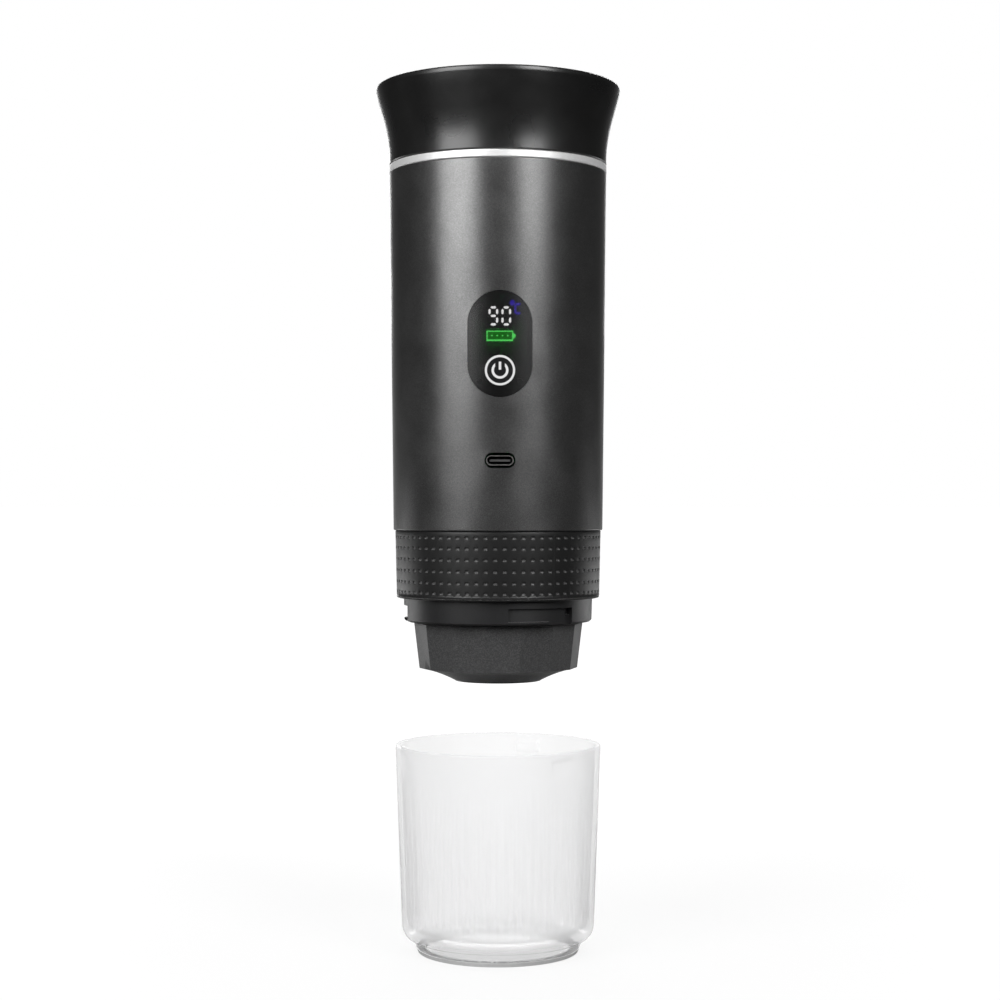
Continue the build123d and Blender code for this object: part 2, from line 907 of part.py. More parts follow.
# Spring under the plunger
with BuildPart() as pump_spring:
    spring_rise = pump_spring_height - pump_spring_wire - 2 * inlay_gap
    spring_start = pump_bottom + pump_end + pump_spring_wire / 2 + inlay_gap
    with BuildLine(Plane.XY.offset(spring_start)) as spring_path:
        Helix(
            pitch=spring_rise / pump_spring_turns,
            height=spring_rise,
            radius=pump_spring_radius,
            center=(0, -pump_offset, 0),
        )
    with BuildSketch(
        Plane(
            origin=spring_path.line @ 0,
            x_dir=(1, 0, 0),
            z_dir=spring_path.line % 0,
        )
    ):
        Circle(pump_spring_wire / 2)
    sweep(path=spring_path.line, is_frenet=True)

# Rubber ring that the pump stands on
with BuildPart() as pump_mount:
    tube(mount_ring_radius, port_radius + inlay_gap, frame_deck, mount_ring_height, at=pump_place)

# Hoses from the tank to the pump and from the pump to the chamber
tank_outlet_bottom = tank_bottom - tank_outlet_length
hose_bore = port_radius + inlay_gap
with BuildPart() as inlet_hose:
    hose_bottom = pump_top + pump_nozzle_height - hose_overlap
    tube(
        hose_bore + hose_wall,
        hose_bore,
        hose_bottom,
        tank_outlet_bottom + hose_overlap - heater_thickness - hose_bottom,
        at=pump_place,
    )

with BuildPart() as outlet_hose:
    hose_top = pump_bottom - seat_gap - mount_ring_height
    tube(
        hose_bore + hose_wall,
        hose_bore,
        port_top - hose_overlap,
        hose_top - port_top + hose_overlap,
        at=pump_place,
    )

# Tank collar: threaded neck for the lid, closing the top of the casing
collar_radius = casing_top_radius - casing_wall - wall_gap
with BuildPart() as tank_collar:
    rod(collar_radius, casing_top - collar_thickness, collar_thickness)
    rod(
        collar_skirt_radius,
        casing_top - collar_thickness - collar_skirt_height,
        collar_skirt_height,
    )
    rod(
        neck_bore,
        casing_top - collar_thickness - collar_skirt_height,
        collar_thickness + collar_skirt_height,
        mode=Mode.SUBTRACT,
    )
    thread(neck_bore, plug_bottom + plug_thread_start - thread_pitch / 2, outward=False)

# Steel water tank, hung from the collar by its flange
with BuildPart() as water_tank:
    rod(tank_radius, tank_bottom, tank_depth)
    tank_base = water_tank.edges().filter_by(GeomType.CIRCLE).group_by(Axis.Z)[0]
    fillet(tank_base, radius=tank_corner)
    offset(amount=-tank_wall, openings=water_tank.faces().sort_by(Axis.Z)[-1])
    tube(
        tank_flange_radius,
        tank_radius - tank_wall,
        tank_top - tank_flange_thickness,
        tank_flange_thickness,
    )
    rod(port_radius, tank_outlet_bottom, tank_outlet_length, at=pump_place)
    rod(
        port_bore_radius,
        tank_outlet_bottom,
        tank_outlet_length + tank_wall,
        at=pump_place,
        mode=Mode.SUBTRACT,
    )

# Flat gasket between the tank's flange and the collar
with BuildPart() as tank_gasket:
    tube(tank_flange_radius, tank_radius - tank_wall, tank_top, tank_gasket_thickness)

# Heater plate under the tank, with the tank's outlet passing through
with BuildPart() as heater_plate:
    rod(heater_radius, heater_bottom, heater_thickness)
    rod(
        hose_passage,
        heater_bottom,
        heater_thickness,
        at=pump_place,
        mode=Mode.SUBTRACT,
    )

# Cut-off and sensor between the frame's shelf and the heater
with BuildPart() as thermal_cutoff:
    cutoff_place = place(heater_part_circle, cutoff_bearing)
    with Locations((cutoff_place[0], cutoff_place[1], frame_top)):
        Box(
            cutoff_length,
            cutoff_width,
            heater_bottom - frame_top,
            align=(Align.CENTER, Align.CENTER, Align.MIN),
        )

with BuildPart() as temperature_sensor:
    sensor_place = place(heater_part_circle, sensor_bearing)
    with Locations((sensor_place[0], sensor_place[1], heater_bottom - sensor_radius)):
        Cylinder(sensor_radius, sensor_length, rotation=(0, 90, 0))

# Lid shell: flared outside, a rounded lip and a recess for the top disc
flare_angle = math.degrees(math.atan(lid_top_slope))
lip_side_rise = math.sin(math.radians(lid_lip_angle)) + math.sin(math.radians(flare_angle))
lip_top_rise = 1 - math.sin(math.radians(lid_lip_angle))
lip_bottom = lid_top - lid_lip_side_round * lip_side_rise - lid_lip_round * lip_top_rise
disc_bottom = lid_top - lid_disc_recess - lid_disc_thickness
web_bottom = disc_bottom - lid_web
with BuildPart() as lid_shell:
    with BuildSketch(Plane.XZ):
        with BuildLine():
            flare = Spline(
                (trim_radius - inlay_gap, lid_bottom + lid_edge),
                (lid_middle_radius, lid_bottom + lid_middle_height),
                (lid_top_radius, lip_bottom),
                tangents=((0, 1), (lid_top_slope, 1)),
            )
            lip_side = JernArc(
                flare @ 1, (lid_top_slope, 1), lid_lip_side_round, flare_angle + lid_lip_angle
            )
            lip = JernArc(lip_side @ 1, lip_side % 1, lid_lip_round, 90 - lid_lip_angle)
            recess_radius = lid_top_radius - lid_rim_width
            cavity_radius = lid_middle_radius - lid_wall
            recess = Polyline(
                lip @ 1,
                (recess_radius, lid_top),
                (recess_radius, disc_bottom),
                (0, disc_bottom),
                (0, web_bottom),
                (cavity_radius, web_bottom),
                (cavity_radius, lid_bottom + lid_middle_height),
            )
            Spline(
                recess @ 1,
                (trim_radius - lid_wall, lid_bottom),
                tangents=((0, -1), (0, -1)),
            )
            Polyline(
                (trim_radius - lid_wall, lid_bottom),
                (trim_radius - inlay_gap - lid_edge, lid_bottom),
                flare @ 0,
            )
        make_face()
    revolve(axis=Axis.Z)
    plate_top = lid_bottom + seat_gap + lid_plate_thickness
    for post in range(lid_screw_count):
        post_place = place(lid_post_circle, post * full_turn / lid_screw_count)
        rod(lid_post_radius, plate_top, web_bottom - plate_top, at=post_place)
        rod(
            lid_screw_radius,
            plate_top,
            lid_screw_length - lid_plate_thickness + lid_screw_head_height,
            at=post_place,
            mode=Mode.SUBTRACT,
        )

# Disc in the top of the lid
with BuildPart() as lid_top_disc:
    rod(lid_top_radius - lid_rim_width - inlay_gap, disc_bottom, lid_disc_thickness)
    fillet(
        lid_top_disc.edges().filter_by(GeomType.CIRCLE).group_by(Axis.Z)[-1],
        radius=casing_edge,
    )

# Lid base: plate and threaded plug that close the tank's neck
plate_bottom = lid_bottom + seat_gap
with BuildPart() as lid_base:
    rod(trim_radius - lid_wall - wall_gap, plate_bottom, lid_plate_thickness)
    rod(plug_radius, plug_bottom, plug_depth)
    rod(
        plug_radius - plug_wall,
        plug_bottom + plug_wall,
        plug_depth + lid_plate_thickness,
        mode=Mode.SUBTRACT,
    )
    thread(plug_radius, plug_bottom + plug_thread_start, outward=True)
    for post in range(lid_screw_count):
        post_place = place(lid_post_circle, post * full_turn / lid_screw_count)
        rod(
            lid_screw_radius,
            plate_bottom,
            lid_plate_thickness,
            at=post_place,
            mode=Mode.SUBTRACT,
        )
        rod(
            lid_screw_head_radius,
            plate_bottom,
            lid_screw_head_height,
            at=post_place,
            mode=Mode.SUBTRACT,
        )

# Screws that hold the lid's base to its shell, heads sunk in the plate
with BuildPart() as lid_screws:
    for post in range(lid_screw_count):
        post_place = place(lid_post_circle, post * full_turn / lid_screw_count)
        rod(lid_screw_head_radius, plate_bottom, lid_screw_head_height, at=post_place)
        rod(lid_screw_radius, plate_bottom, lid_screw_length, at=post_place)

# Ring seal between the lid and the tank's collar
with BuildPart() as lid_seal:
    tube(
        lid_seal_outer_radius,
        lid_seal_inner_radius,
        casing_top + seat_gap,
        plate_bottom - casing_top - seat_gap,
    )

# Glossy panel, flush with the casing, with a round hole for the button
with BuildPart() as display_window:
    skin(0.0, panel_thickness)
    with BuildSketch(Plane.XZ):
        with Locations((0, panel_center)):
            SlotOverall(panel_height, panel_width, rotation=90)
    extrude(amount=casing_reach, mode=Mode.INTERSECT)
    with BuildSketch(Plane.XZ):
        with Locations((0, button_center)):
            Circle(button_radius + slide_gap)
    extrude(amount=casing_reach, mode=Mode.SUBTRACT)
    for across, rise in peg_places:
        wall_middle = casing_radius(panel_center + rise) - panel_thickness / 2
        with BuildSketch(Plane.XZ.offset(display_board_depth)):
            with Locations((across, panel_center + rise)):
                Circle(peg_radius)
        extrude(amount=math.sqrt(wall_middle**2 - across**2) - display_board_depth)

# Board behind the panel
with BuildPart() as display_board:
    with BuildSketch(Plane.XZ.offset(display_board_depth - board_thickness)):
        with Locations((0, panel_center)):
            Rectangle(display_board_width, display_board_height)
    extrude(amount=board_thickness)

# White ring and power sign set in the button's face
with BuildPart() as button_marks:
    skin(0.0, mark_depth)
    with BuildSketch(Plane.XZ):
        with Locations((0, button_center)):
            Circle(button_radius - inlay_gap)
            Circle(button_radius - button_ring_width, mode=Mode.SUBTRACT)
            Circle(icon_radius)
            Circle(icon_radius - icon_line, mode=Mode.SUBTRACT)
            Rectangle(
                2 * icon_radius * math.sin(math.radians(icon_gap_angle / 2)),
                icon_radius,
                align=(Align.CENTER, Align.MIN),
                mode=Mode.SUBTRACT,
            )
        with Locations((0, button_center + icon_radius)):
            Rectangle(icon_line, icon_bar_height, align=(Align.CENTER, Align.MAX))
    extrude(amount=casing_reach, mode=Mode.INTERSECT)

# Round button that moves in through the panel, with its stem
stem_tip = display_board_depth + switch_body + switch_cap + seat_gap + button_travel
with BuildPart() as power_button:
    skin(0.0, button_thickness)
    with BuildSketch(Plane.XZ):
        with Locations((0, button_center)):
            Circle(button_radius)
    extrude(amount=casing_reach, mode=Mode.INTERSECT)
    with BuildSketch(Plane.XZ.offset(stem_tip)):
        with Locations((0, button_center)):
            Circle(button_stem_radius)
    extrude(amount=casing_radius(button_center) - button_thickness / 2 - stem_tip)
    add(button_marks.part, mode=Mode.SUBTRACT)

# Push switch on the board behind the button
with BuildPart() as push_switch:
    with BuildSketch(Plane.XZ.offset(display_board_depth)):
        with Locations((0, button_center)):
            Rectangle(switch_size, switch_size)
    extrude(amount=switch_body)
    with BuildSketch(Plane.XZ.offset(display_board_depth + switch_body)):
        with Locations((0, button_center)):
            Circle(switch_cap_radius)
    extrude(amount=switch_cap)

# Block that carries the two digits
digits_center = panel_center + digits_rise
with BuildPart() as digit_module:
    with BuildSketch(Plane.XZ.offset(display_board_depth)):
        with Locations((0, digits_center)):
            Rectangle(
                digit_pitch + digit_width + 2 * digit_frame,
                digit_height + 2 * digit_frame,
            )
    extrude(amount=digit_module_depth)

# Lit bars of the two digits, each bar a solid of its own
digit_bars = {
    9: ("top", "upper left", "upper right", "middle", "lower right", "bottom"),
    0: ("top", "upper left", "upper right", "lower left", "lower right", "bottom"),
}
bar_across = (digit_width - digit_line) / 2
bar_rise = (digit_height - digit_line) / 2
bar_places = {
    "top": (0, bar_rise),
    "middle": (0, 0),
    "bottom": (0, -bar_rise),
    "upper left": (-bar_across, bar_rise / 2),
    "upper right": (bar_across, bar_rise / 2),
    "lower left": (-bar_across, -bar_rise / 2),
    "lower right": (bar_across, -bar_rise / 2),
}
with BuildPart() as digit_lights:
    with BuildSketch(Plane.XZ.offset(display_board_depth + digit_module_depth)):
        for digit, shift in ((9, -digit_pitch / 2), (0, digit_pitch / 2)):
            for bar in digit_bars[digit]:
                across, rise = bar_places[bar]
                with Locations((shift + across, digits_center + rise)):
                    if across == 0:
                        Rectangle(2 * bar_across - digit_line - digit_gap, digit_line)
                    else:
                        Rectangle(digit_line, bar_rise - digit_gap)
    extrude(amount=digit_light_height)

# Lit degree sign, a small ring and a letter C
with BuildPart() as degree_light:
    with BuildSketch(Plane.XZ.offset(display_board_depth)):
        with Locations((degree_letter_place[0], panel_center + degree_letter_place[1])):
            Circle(degree_letter_radius)
            Circle(degree_letter_radius - degree_line, mode=Mode.SUBTRACT)
            Rectangle(
                degree_letter_radius,
                degree_letter_mouth,
                align=(Align.MIN, Align.CENTER),
                mode=Mode.SUBTRACT,
            )
        with Locations((degree_dot_place[0], panel_center + degree_dot_place[1])):
            Circle(degree_dot_radius)
            Circle(degree_dot_radius - degree_line, mode=Mode.SUBTRACT)
    extrude(amount=degree_depth)

# Lit battery sign, an outline with a tip and bars inside
with BuildPart() as battery_light:
    with BuildSketch(Plane.XZ.offset(display_board_depth)):
        with Locations((battery_place[0], panel_center + battery_place[1])):
            Rectangle(battery_mark_width, battery_mark_height)
            Rectangle(
                battery_mark_width - 2 * battery_mark_line,
                battery_mark_height - 2 * battery_mark_line,
                mode=Mode.SUBTRACT,
            )
            with GridLocations(
                (battery_mark_width - 2 * battery_mark_line) / battery_bar_count,
                1,
                battery_bar_count,
                1,
            ):
                Rectangle(battery_bar_width, battery_mark_height / 2)
        with Locations(
            (
                battery_place[0] + battery_mark_width / 2,
                panel_center + battery_place[1],
            )
        ):
            Rectangle(
                battery_tip_width,
                battery_mark_height / 2,
                align=(Align.MIN, Align.CENTER),
            )
    extrude(amount=battery_depth)

# Main board in front of the pump, chips on its back
with BuildPart() as main_board:
    with BuildSketch(Plane.XZ.offset(main_board_depth - main_board_thickness)):
        with Locations((0, frame_deck)):
            Rectangle(main_board_width, main_board_height, align=(Align.CENTER, Align.MIN))
    extrude(amount=main_board_thickness)
    with BuildSketch(Plane.XZ.offset(main_board_depth - main_board_thickness)):
        for across, rise, chip_width, chip_length in chip_places:
            with Locations((across, frame_deck + rise)):
                Rectangle(chip_width, chip_length)
    extrude(amount=-chip_height)

# Ribbon between the two boards
with BuildPart() as board_ribbon:
    ribbon_low = frame_deck + main_board_height - ribbon_lap
    with BuildSketch(Plane.XZ.offset(main_board_depth)):
        with Locations((0, ribbon_low)):
            Rectangle(
                ribbon_width,
                panel_center - ribbon_low,
                align=(Align.CENTER, Align.MIN),
            )
    extrude(amount=ribbon_thickness)
    with BuildSketch(Plane.XZ.offset(main_board_depth)):
        with Locations((0, panel_center)):
            Rectangle(ribbon_width, ribbon_lap)
    extrude(amount=display_board_depth - board_thickness - main_board_depth)

# Charging socket: metal shell soldered to the main board
with BuildPart() as usb_socket:
    with BuildSketch(Plane.XZ.offset(main_board_depth)):
        with Locations((0, socket_center)):
            SlotOverall(socket_width, socket_thickness)
    extrude(amount=socket_mouth - main_board_depth)
    with BuildSketch(Plane.XZ.offset(main_board_depth + socket_back)):
        with Locations((0, socket_center)):
            SlotOverall(socket_width - 2 * socket_wall, socket_thickness - 2 * socket_wall)
    extrude(amount=socket_mouth - main_board_depth, mode=Mode.SUBTRACT)

# Contact tongue inside the socket
with BuildPart() as usb_tongue:
    with BuildSketch(Plane.XZ.offset(main_board_depth + socket_back)):
        with Locations((0, socket_center)):
            Rectangle(tongue_width, tongue_thickness)
    extrude(amount=socket_mouth - main_board_depth - socket_back - tongue_recess)

# Everything above, by the name of its file
pieces = {
    "cup": cup,
    "cup_foot_ring": cup_foot_ring,
    "brew_head": brew_head,
    "spout_disc": spout_disc,
    "coffee_basket": coffee_basket,
    "basket_screen": basket_screen,
    "bayonet_ring": bayonet_ring,
    "lower_housing": lower_housing,
    "grip_sleeve": grip_sleeve,
    "brew_chamber": brew_chamber,
    "ring_screws": ring_screws,
    "shower_plate": shower_plate,
    "brew_gasket": brew_gasket,
    "outer_casing": outer_casing,
    "trim_ring": trim_ring,
    "inner_frame": inner_frame,
    "frame_screws": frame_screws,
    "battery_cell_left": cells["left"],
    "battery_cell_back": cells["back"],
    "battery_cell_right": cells["right"],
    "cell_links": cell_links,
    "pump_body": pump_body,
    "pump_coil": pump_coil,
    "pump_plunger": pump_plunger,
    "pump_spring": pump_spring,
    "pump_mount": pump_mount,
    "inlet_hose": inlet_hose,
    "outlet_hose": outlet_hose,
    "tank_collar": tank_collar,
    "water_tank": water_tank,
    "tank_gasket": tank_gasket,
    "heater_plate": heater_plate,
    "thermal_cutoff": thermal_cutoff,
    "temperature_sensor": temperature_sensor,
    "lid_shell": lid_shell,
    "lid_top_disc": lid_top_disc,
    "lid_base": lid_base,
    "lid_screws": lid_screws,
    "lid_seal": lid_seal,
    "display_window": display_window,
    "display_board": display_board,
    "power_button": power_button,
    "button_marks": button_marks,
    "push_switch": push_switch,
    "digit_module": digit_module,
    "digit_lights": digit_lights,
    "degree_light": degree_light,
    "battery_light": battery_light,
    "main_board": main_board,
    "board_ribbon": board_ribbon,
    "usb_socket": usb_socket,
    "usb_tongue": usb_tongue,
}
os.makedirs("parts", exist_ok=True)
for name, piece in pieces.items():
    piece.part.label = name
    export_step(piece.part, f"parts/{name}.step")
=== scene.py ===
"""The looks of a portable coffee maker and its cup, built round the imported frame.

Lengths are in metres, Z is up, the front faces -Y and Z = 0 is the table that the cup stands on.
Bearings are counted from the front, positive towards +X, and are in degrees where a number is written.
"""

import math

import bpy
import numpy as np
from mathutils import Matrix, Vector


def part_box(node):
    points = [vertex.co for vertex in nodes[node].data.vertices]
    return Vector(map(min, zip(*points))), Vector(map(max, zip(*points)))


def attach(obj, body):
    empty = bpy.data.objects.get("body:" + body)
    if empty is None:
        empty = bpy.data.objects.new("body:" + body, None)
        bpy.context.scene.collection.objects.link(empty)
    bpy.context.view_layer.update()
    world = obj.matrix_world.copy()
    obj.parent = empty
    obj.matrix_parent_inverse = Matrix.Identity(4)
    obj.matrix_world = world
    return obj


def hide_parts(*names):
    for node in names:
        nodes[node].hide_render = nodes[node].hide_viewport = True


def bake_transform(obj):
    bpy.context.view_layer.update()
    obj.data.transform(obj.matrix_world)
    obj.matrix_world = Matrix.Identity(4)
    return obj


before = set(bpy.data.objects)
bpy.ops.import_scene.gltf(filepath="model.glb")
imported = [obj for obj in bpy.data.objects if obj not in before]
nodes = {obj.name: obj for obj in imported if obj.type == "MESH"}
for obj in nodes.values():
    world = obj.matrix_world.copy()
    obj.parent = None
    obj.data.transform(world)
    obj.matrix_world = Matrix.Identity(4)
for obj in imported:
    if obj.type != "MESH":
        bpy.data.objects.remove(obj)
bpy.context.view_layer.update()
MM = 0.001

# The photograph's camera, level with the horizon at the middle of the picture
CAMERA_PLACE = (-0.0124, -0.6939, 0.1529)
CAMERA_TURN = math.radians(-1.08)
CAMERA_LENS = 73.4  # in millimetres, as Blender counts it

# Grip: columns and rows of small dimples, and a parting line
DIMPLE_COLUMNS = 70
DIMPLE_HEIGHTS = [122.3 * MM, 125.7 * MM, 129.5 * MM, 133.3 * MM, 137.0 * MM, 140.5 * MM]
DIMPLE_WIDTH = 1.35 * MM
DIMPLE_HEIGHT = 0.95 * MM
DIMPLE_DEPTH = 0.4 * MM
# Loops of a dimple: share of its half size, share of its depth
DIMPLE_RINGS = ((1.3, 0.0), (1.05, 0.02), (0.93, 0.25), (0.8, 0.75), (0.6, 0.97), (0.3, 1.0))
DIMPLE_SQUARENESS = 0.6
CELL_STEPS = 4
GRIP_EDGE = 0.5 * MM
GRIP_DRAFT = 0.5 * MM
PARTING_BEARING = 30.86
PARTING_STEPS = 12
# Section of the parting line: sideways, and sunk below the outside
PARTING_SECTION = (
    (-0.2 * MM, 0.1 * MM),
    (-0.07 * MM, -0.05 * MM),
    (0.07 * MM, -0.05 * MM),
    (0.2 * MM, 0.1 * MM),
)
GRIP_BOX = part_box("grip_sleeve")
GRIP_REACH = [math.hypot(v.co.x, v.co.y) for v in nodes["grip_sleeve"].data.vertices]
GRIP_INNER_RADIUS = min(GRIP_REACH)
GRIP_TOP_RADIUS = max(GRIP_REACH)

# Cup: walls, foot, flutes and lugs
CUP_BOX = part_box("cup")
CUP_RIM_RADIUS = max(math.hypot(v.co.x, v.co.y) for v in nodes["cup"].data.vertices)
CUP_WALL = 1.8 * MM
CUP_RIM_ROUND = 0.6 * MM
CUP_BASE_RADIUS = 32.65 * MM
CUP_BASE_HEIGHT = 9.4 * MM
CUP_FOOT_TOP_RADIUS = 29.0 * MM
CUP_FOOT_TOP_HEIGHT = 4.4 * MM
CUP_FOOT_WIDTH = 2.6 * MM
CUP_FOOT_SLOPE = 1.8 / 4.4  # outwards for each length upwards
CUP_FOOT_EDGE = 0.3 * MM
CUP_RECESS_EDGE = 0.4 * MM
CUP_FLOOR_TOP = 8.0 * MM
CUP_FLOOR_THICKNESS = 2.6 * MM
CUP_FLOOR_CORNER = 3.0 * MM
FLUTE_COUNT = 72
FLUTE_STEPS = 8
FLUTE_DEPTH = 0.36 * MM
FLUTE_TOP = 62.0 * MM
FLUTE_FADE = 34.0 * MM  # the stretch over which they deepen from their tops
FLUTE_FOOT = 6.0 * MM  # and run out at their lower ends
LUG_BEARINGS = (40.0, 160.0, 280.0)
LUG_WIDTH = 14.0  # in degrees, as is the blend at its sides
LUG_RADIUS = 31.1 * MM
LUG_BOTTOM = 63.9 * MM
LUG_TOP = 66.9 * MM
LUG_EDGE = 0.5 * MM
LUG_BLEND = 1.6

# Lit signs: digits of pointed bars, a degree sign and a battery with a pointed end
SEGMENT_LENGTH = 1.75 * MM
SEGMENT_WIDTH = 0.68 * MM
SEGMENT_RISE = 2.76 * MM
SEGMENT_SIDE = 1.22 * MM
DIGIT_PITCH = 4.2 * MM
DEGREE_DOT_RADIUS = 0.85 * MM
DEGREE_LINE = 0.6 * MM
BATTERY_LINE = 0.32 * MM
BATTERY_TIP = 0.8 * MM
BATTERY_TIP_HALF = 1.0 * MM
BATTERY_DOTS = 4
DOT_RADIUS = 0.25 * MM

# Charging socket: its shell's wall, and the black lining inside it, a sheet of painted shade
SOCKET_WALL = 0.3 * MM
SOCKET_SHADE_LINING = 0.12 * MM
SOCKET_MOUTH = 0.35 * MM
SOCKET_DEPTH = 6.0 * MM

# Head: the softened edges between its facets
HEAD_EDGE = 0.5 * MM

# Pump spring: its wire, its turns, and the points along and round the wire
SPRING_WIRE = 0.8 * MM
SPRING_TURNS = 6
SPRING_STEPS = 32
SPRING_ROUND = 10

# Studio: how bright the room and the ambient light are, and the soft boxes that face the object
ROOM = 0.035
AMBIENT = 0.3
FAR_SIDE_FOCUS = 15.0
BOX_DISTANCE = 1.1
LOW_BOX_DISTANCE = 0.55
TOP_BOX_SIDE = 1.4
TOP_BOX_PLACE = (0.0, 0.2, 1.6)
TOP_BOX_RADIANCE = 1.2

# Table: its half side, its colours in the light and as it is seen, and its own glow near and far; the
# glow is lower near the object, which evens out the lamps' light there and paints a soft shade round
# the object
TABLE_SIDE = 40.0
TABLE_LIT = (0.05, 0.05, 0.05)
TABLE_SEEN = (0.12, 0.12, 0.12)
TABLE_GLOW_AND_SHADE = (0.82, 1.0)
TABLE_GLOW_REACH = (0.1, 0.9)
TABLE_GLOSS_REACH = (0.5, 2.0)


def set_sockets(tree, node, values):
    """Sets a node's sockets: a plain value stays on the socket, an output is linked to it."""
    for key, value in values.items():
        if isinstance(value, bpy.types.NodeSocket):
            tree.links.new(value, node.inputs[key])
        else:
            node.inputs[key].default_value = value


def add_node(tree, kind, values, **settings):
    node = tree.nodes.new(kind)
    for key, value in settings.items():
        setattr(node, key, value)
    set_sockets(tree, node, values)
    return node


def math_node(tree, operation, first, second):
    return add_node(tree, "ShaderNodeMath", {0: first, 1: second}, operation=operation).outputs[0]


class Finish:
    """A material under way: its Principled shader, and short calls for the nodes that feed it."""

    def __init__(self, name, color, roughness, **sockets):
        self.material = bpy.data.materials.new(name)
        self.material.use_nodes = True
        self.tree = self.material.node_tree
        self.shader = self.tree.nodes["Principled BSDF"]
        self.set({"Base Color": (*color, 1.0), "Roughness": roughness})
        self.set({key.replace("_", " "): value for key, value in sockets.items()})
        self.place = self.add("ShaderNodeTexCoord").outputs["Object"]

    def set(self, values):
        """Sets sockets of the material's shader."""
        set_sockets(self.tree, self.shader, values)

    def add(self, kind, values=None, **settings):
        return add_node(self.tree, kind, values or {}, **settings)

    def stretched(self, scale):
        """The object's own coordinates, scaled by axis."""
        return self.add("ShaderNodeMapping", {"Vector": self.place, "Scale": scale}).outputs["Vector"]

    def noise(self, scale, detail=2.0, place=None):
        values = {"Vector": place or self.place, "Scale": scale, "Detail": detail}
        return self.add("ShaderNodeTexNoise", values).outputs["Fac"]

    def flecks(self, scale):
        """A random grey for each of many small cells."""
        values = {"Vector": self.place, "Scale": scale}
        cells = self.add("ShaderNodeTexVoronoi", values, feature="F1")
        return self.add("ShaderNodeSeparateColor", {"Color": cells.outputs["Color"]}).outputs["Red"]

    def spread(self, source, low, high, start=0.0, end=1.0):
        """A 0 to 1 value between start and end, laid out from low to high."""
        values = {"Value": source, "From Min": start, "From Max": end, "To Min": low, "To Max": high}
        return self.add("ShaderNodeMapRange", values).outputs["Result"]

    def tint(self, source, first, second):
        """A colour between two, each a plain colour or an output, by a 0 to 1 value."""
        node = self.add("ShaderNodeMix", data_type="RGBA", clamp_factor=True)
        self.tree.links.new(source, node.inputs[0])
        for place, color in ((6, first), (7, second)):
            if isinstance(color, bpy.types.NodeSocket):
                self.tree.links.new(color, node.inputs[place])
            else:
                node.inputs[place].default_value = (*color, 1.0)
        return node.outputs[2]

    def bump(self, source, distance):
        values = {"Height": source, "Distance": distance, "Strength": 1.0}
        self.set({"Normal": self.add("ShaderNodeBump", values).outputs["Normal"]})

    def dress(self, *names):
        """Gives the material to every slot of the named CAD nodes."""
        for name in names:
            for slot in nodes[name].material_slots:
                slot.material = self.material


def grey(value):
    return (value, value, value)


def grained(name, dark, light, roughness, scale, grain=0.00002, **sockets):
    """Moulded plastic or rubber: a fine grain in its colour, its gloss and its surface."""
    made = Finish(name, dark, roughness, **sockets)
    fine = made.noise(scale, 3.0)
    cloud = made.noise(60.0, 3.0)
    made.set({
        "Base Color": made.tint(made.spread(fine, 0.0, 1.0, 0.3, 0.7), dark, light),
        "Roughness": made.spread(cloud, roughness - 0.05, roughness + 0.05, 0.3, 0.7),
    })
    made.bump(fine, grain)
    return made


def speckled(name, dark, light, roughness, cell, **sockets):
    """Paint with fine metallic flecks: a random grey for each cell, over a soft cloud."""
    made = Finish(name, dark, roughness, **sockets)
    fleck = made.flecks(1.0 / cell)
    made.set({
        "Base Color": made.tint(made.spread(fleck, 0.0, 1.0, 0.35, 1.0), dark, light),
        "Roughness": made.spread(made.noise(90.0, 2.0), roughness - 0.03, roughness + 0.04, 0.3, 0.7),
    })
    made.bump(made.noise(0.7 / cell, 2.0), 0.00001)
    return made


def drawn_metal(name, color, roughness, lines=(1.0, 1.0, 30.0), **sockets):
    """Turned or brushed metal: fine lines across the longest scale, and small changes of tone."""
    made = Finish(name, color, roughness, Metallic=1.0, **sockets)
    streak = made.noise(900.0, 2.0, made.stretched(lines))
    made.set({
        "Base Color": made.tint(streak, [c * 0.82 for c in color], color),
        "Roughness": made.spread(streak, roughness - 0.06, roughness + 0.08, 0.3, 0.7),
    })
    made.bump(streak, 0.000004)
    return made


def pitted_rubber(name, dark, light, pit_highlight, roughness, pit_roughness, **sockets):
    """The grip's rubber: matt on its outside, glossier down in the dimples, and painted paler there as
    a painted highlight.
    """
    made = Finish(name, dark, roughness, **sockets)
    fine = made.noise(3500.0, 3.0)
    height = made.add("ShaderNodeSeparateXYZ", {0: made.place}).outputs["Z"]
    flat = made.stretched((1.0, 1.0, 0.0))
    reach = made.add("ShaderNodeVectorMath", {0: flat}, operation="LENGTH").outputs["Value"]
    lean = made.spread(height, GRIP_DRAFT, 0.0, GRIP_BOX[0].z, GRIP_BOX[1].z)
    upright = made.add("ShaderNodeMath", {0: reach, 1: lean}, operation="ADD").outputs[0]
    bottom = GRIP_TOP_RADIUS - DIMPLE_DEPTH
    sunk = made.spread(upright, 1.0, 0.0, bottom, bottom + 0.8 * DIMPLE_DEPTH)
    # Painted highlight: the dimples are painted paler all over, standing in for the light their lower
    # lips catch
    made.set({
        "Base Color": made.tint(sunk, made.tint(fine, dark, light), pit_highlight),
        "Roughness": made.spread(sunk, roughness, pit_roughness),
    })
    made.bump(fine, 0.00002)
    return made


def glowing(name, color, strength):
    """A light behind its diffuser, a little uneven."""
    made = Finish(name, (0.05, 0.05, 0.05), 0.5)
    made.set({"Emission Color": (*color, 1.0)})
    uneven = made.spread(made.noise(400.0), strength * 0.94, strength, 0.3, 0.7)
    made.set({"Emission Strength": uneven})
    return made


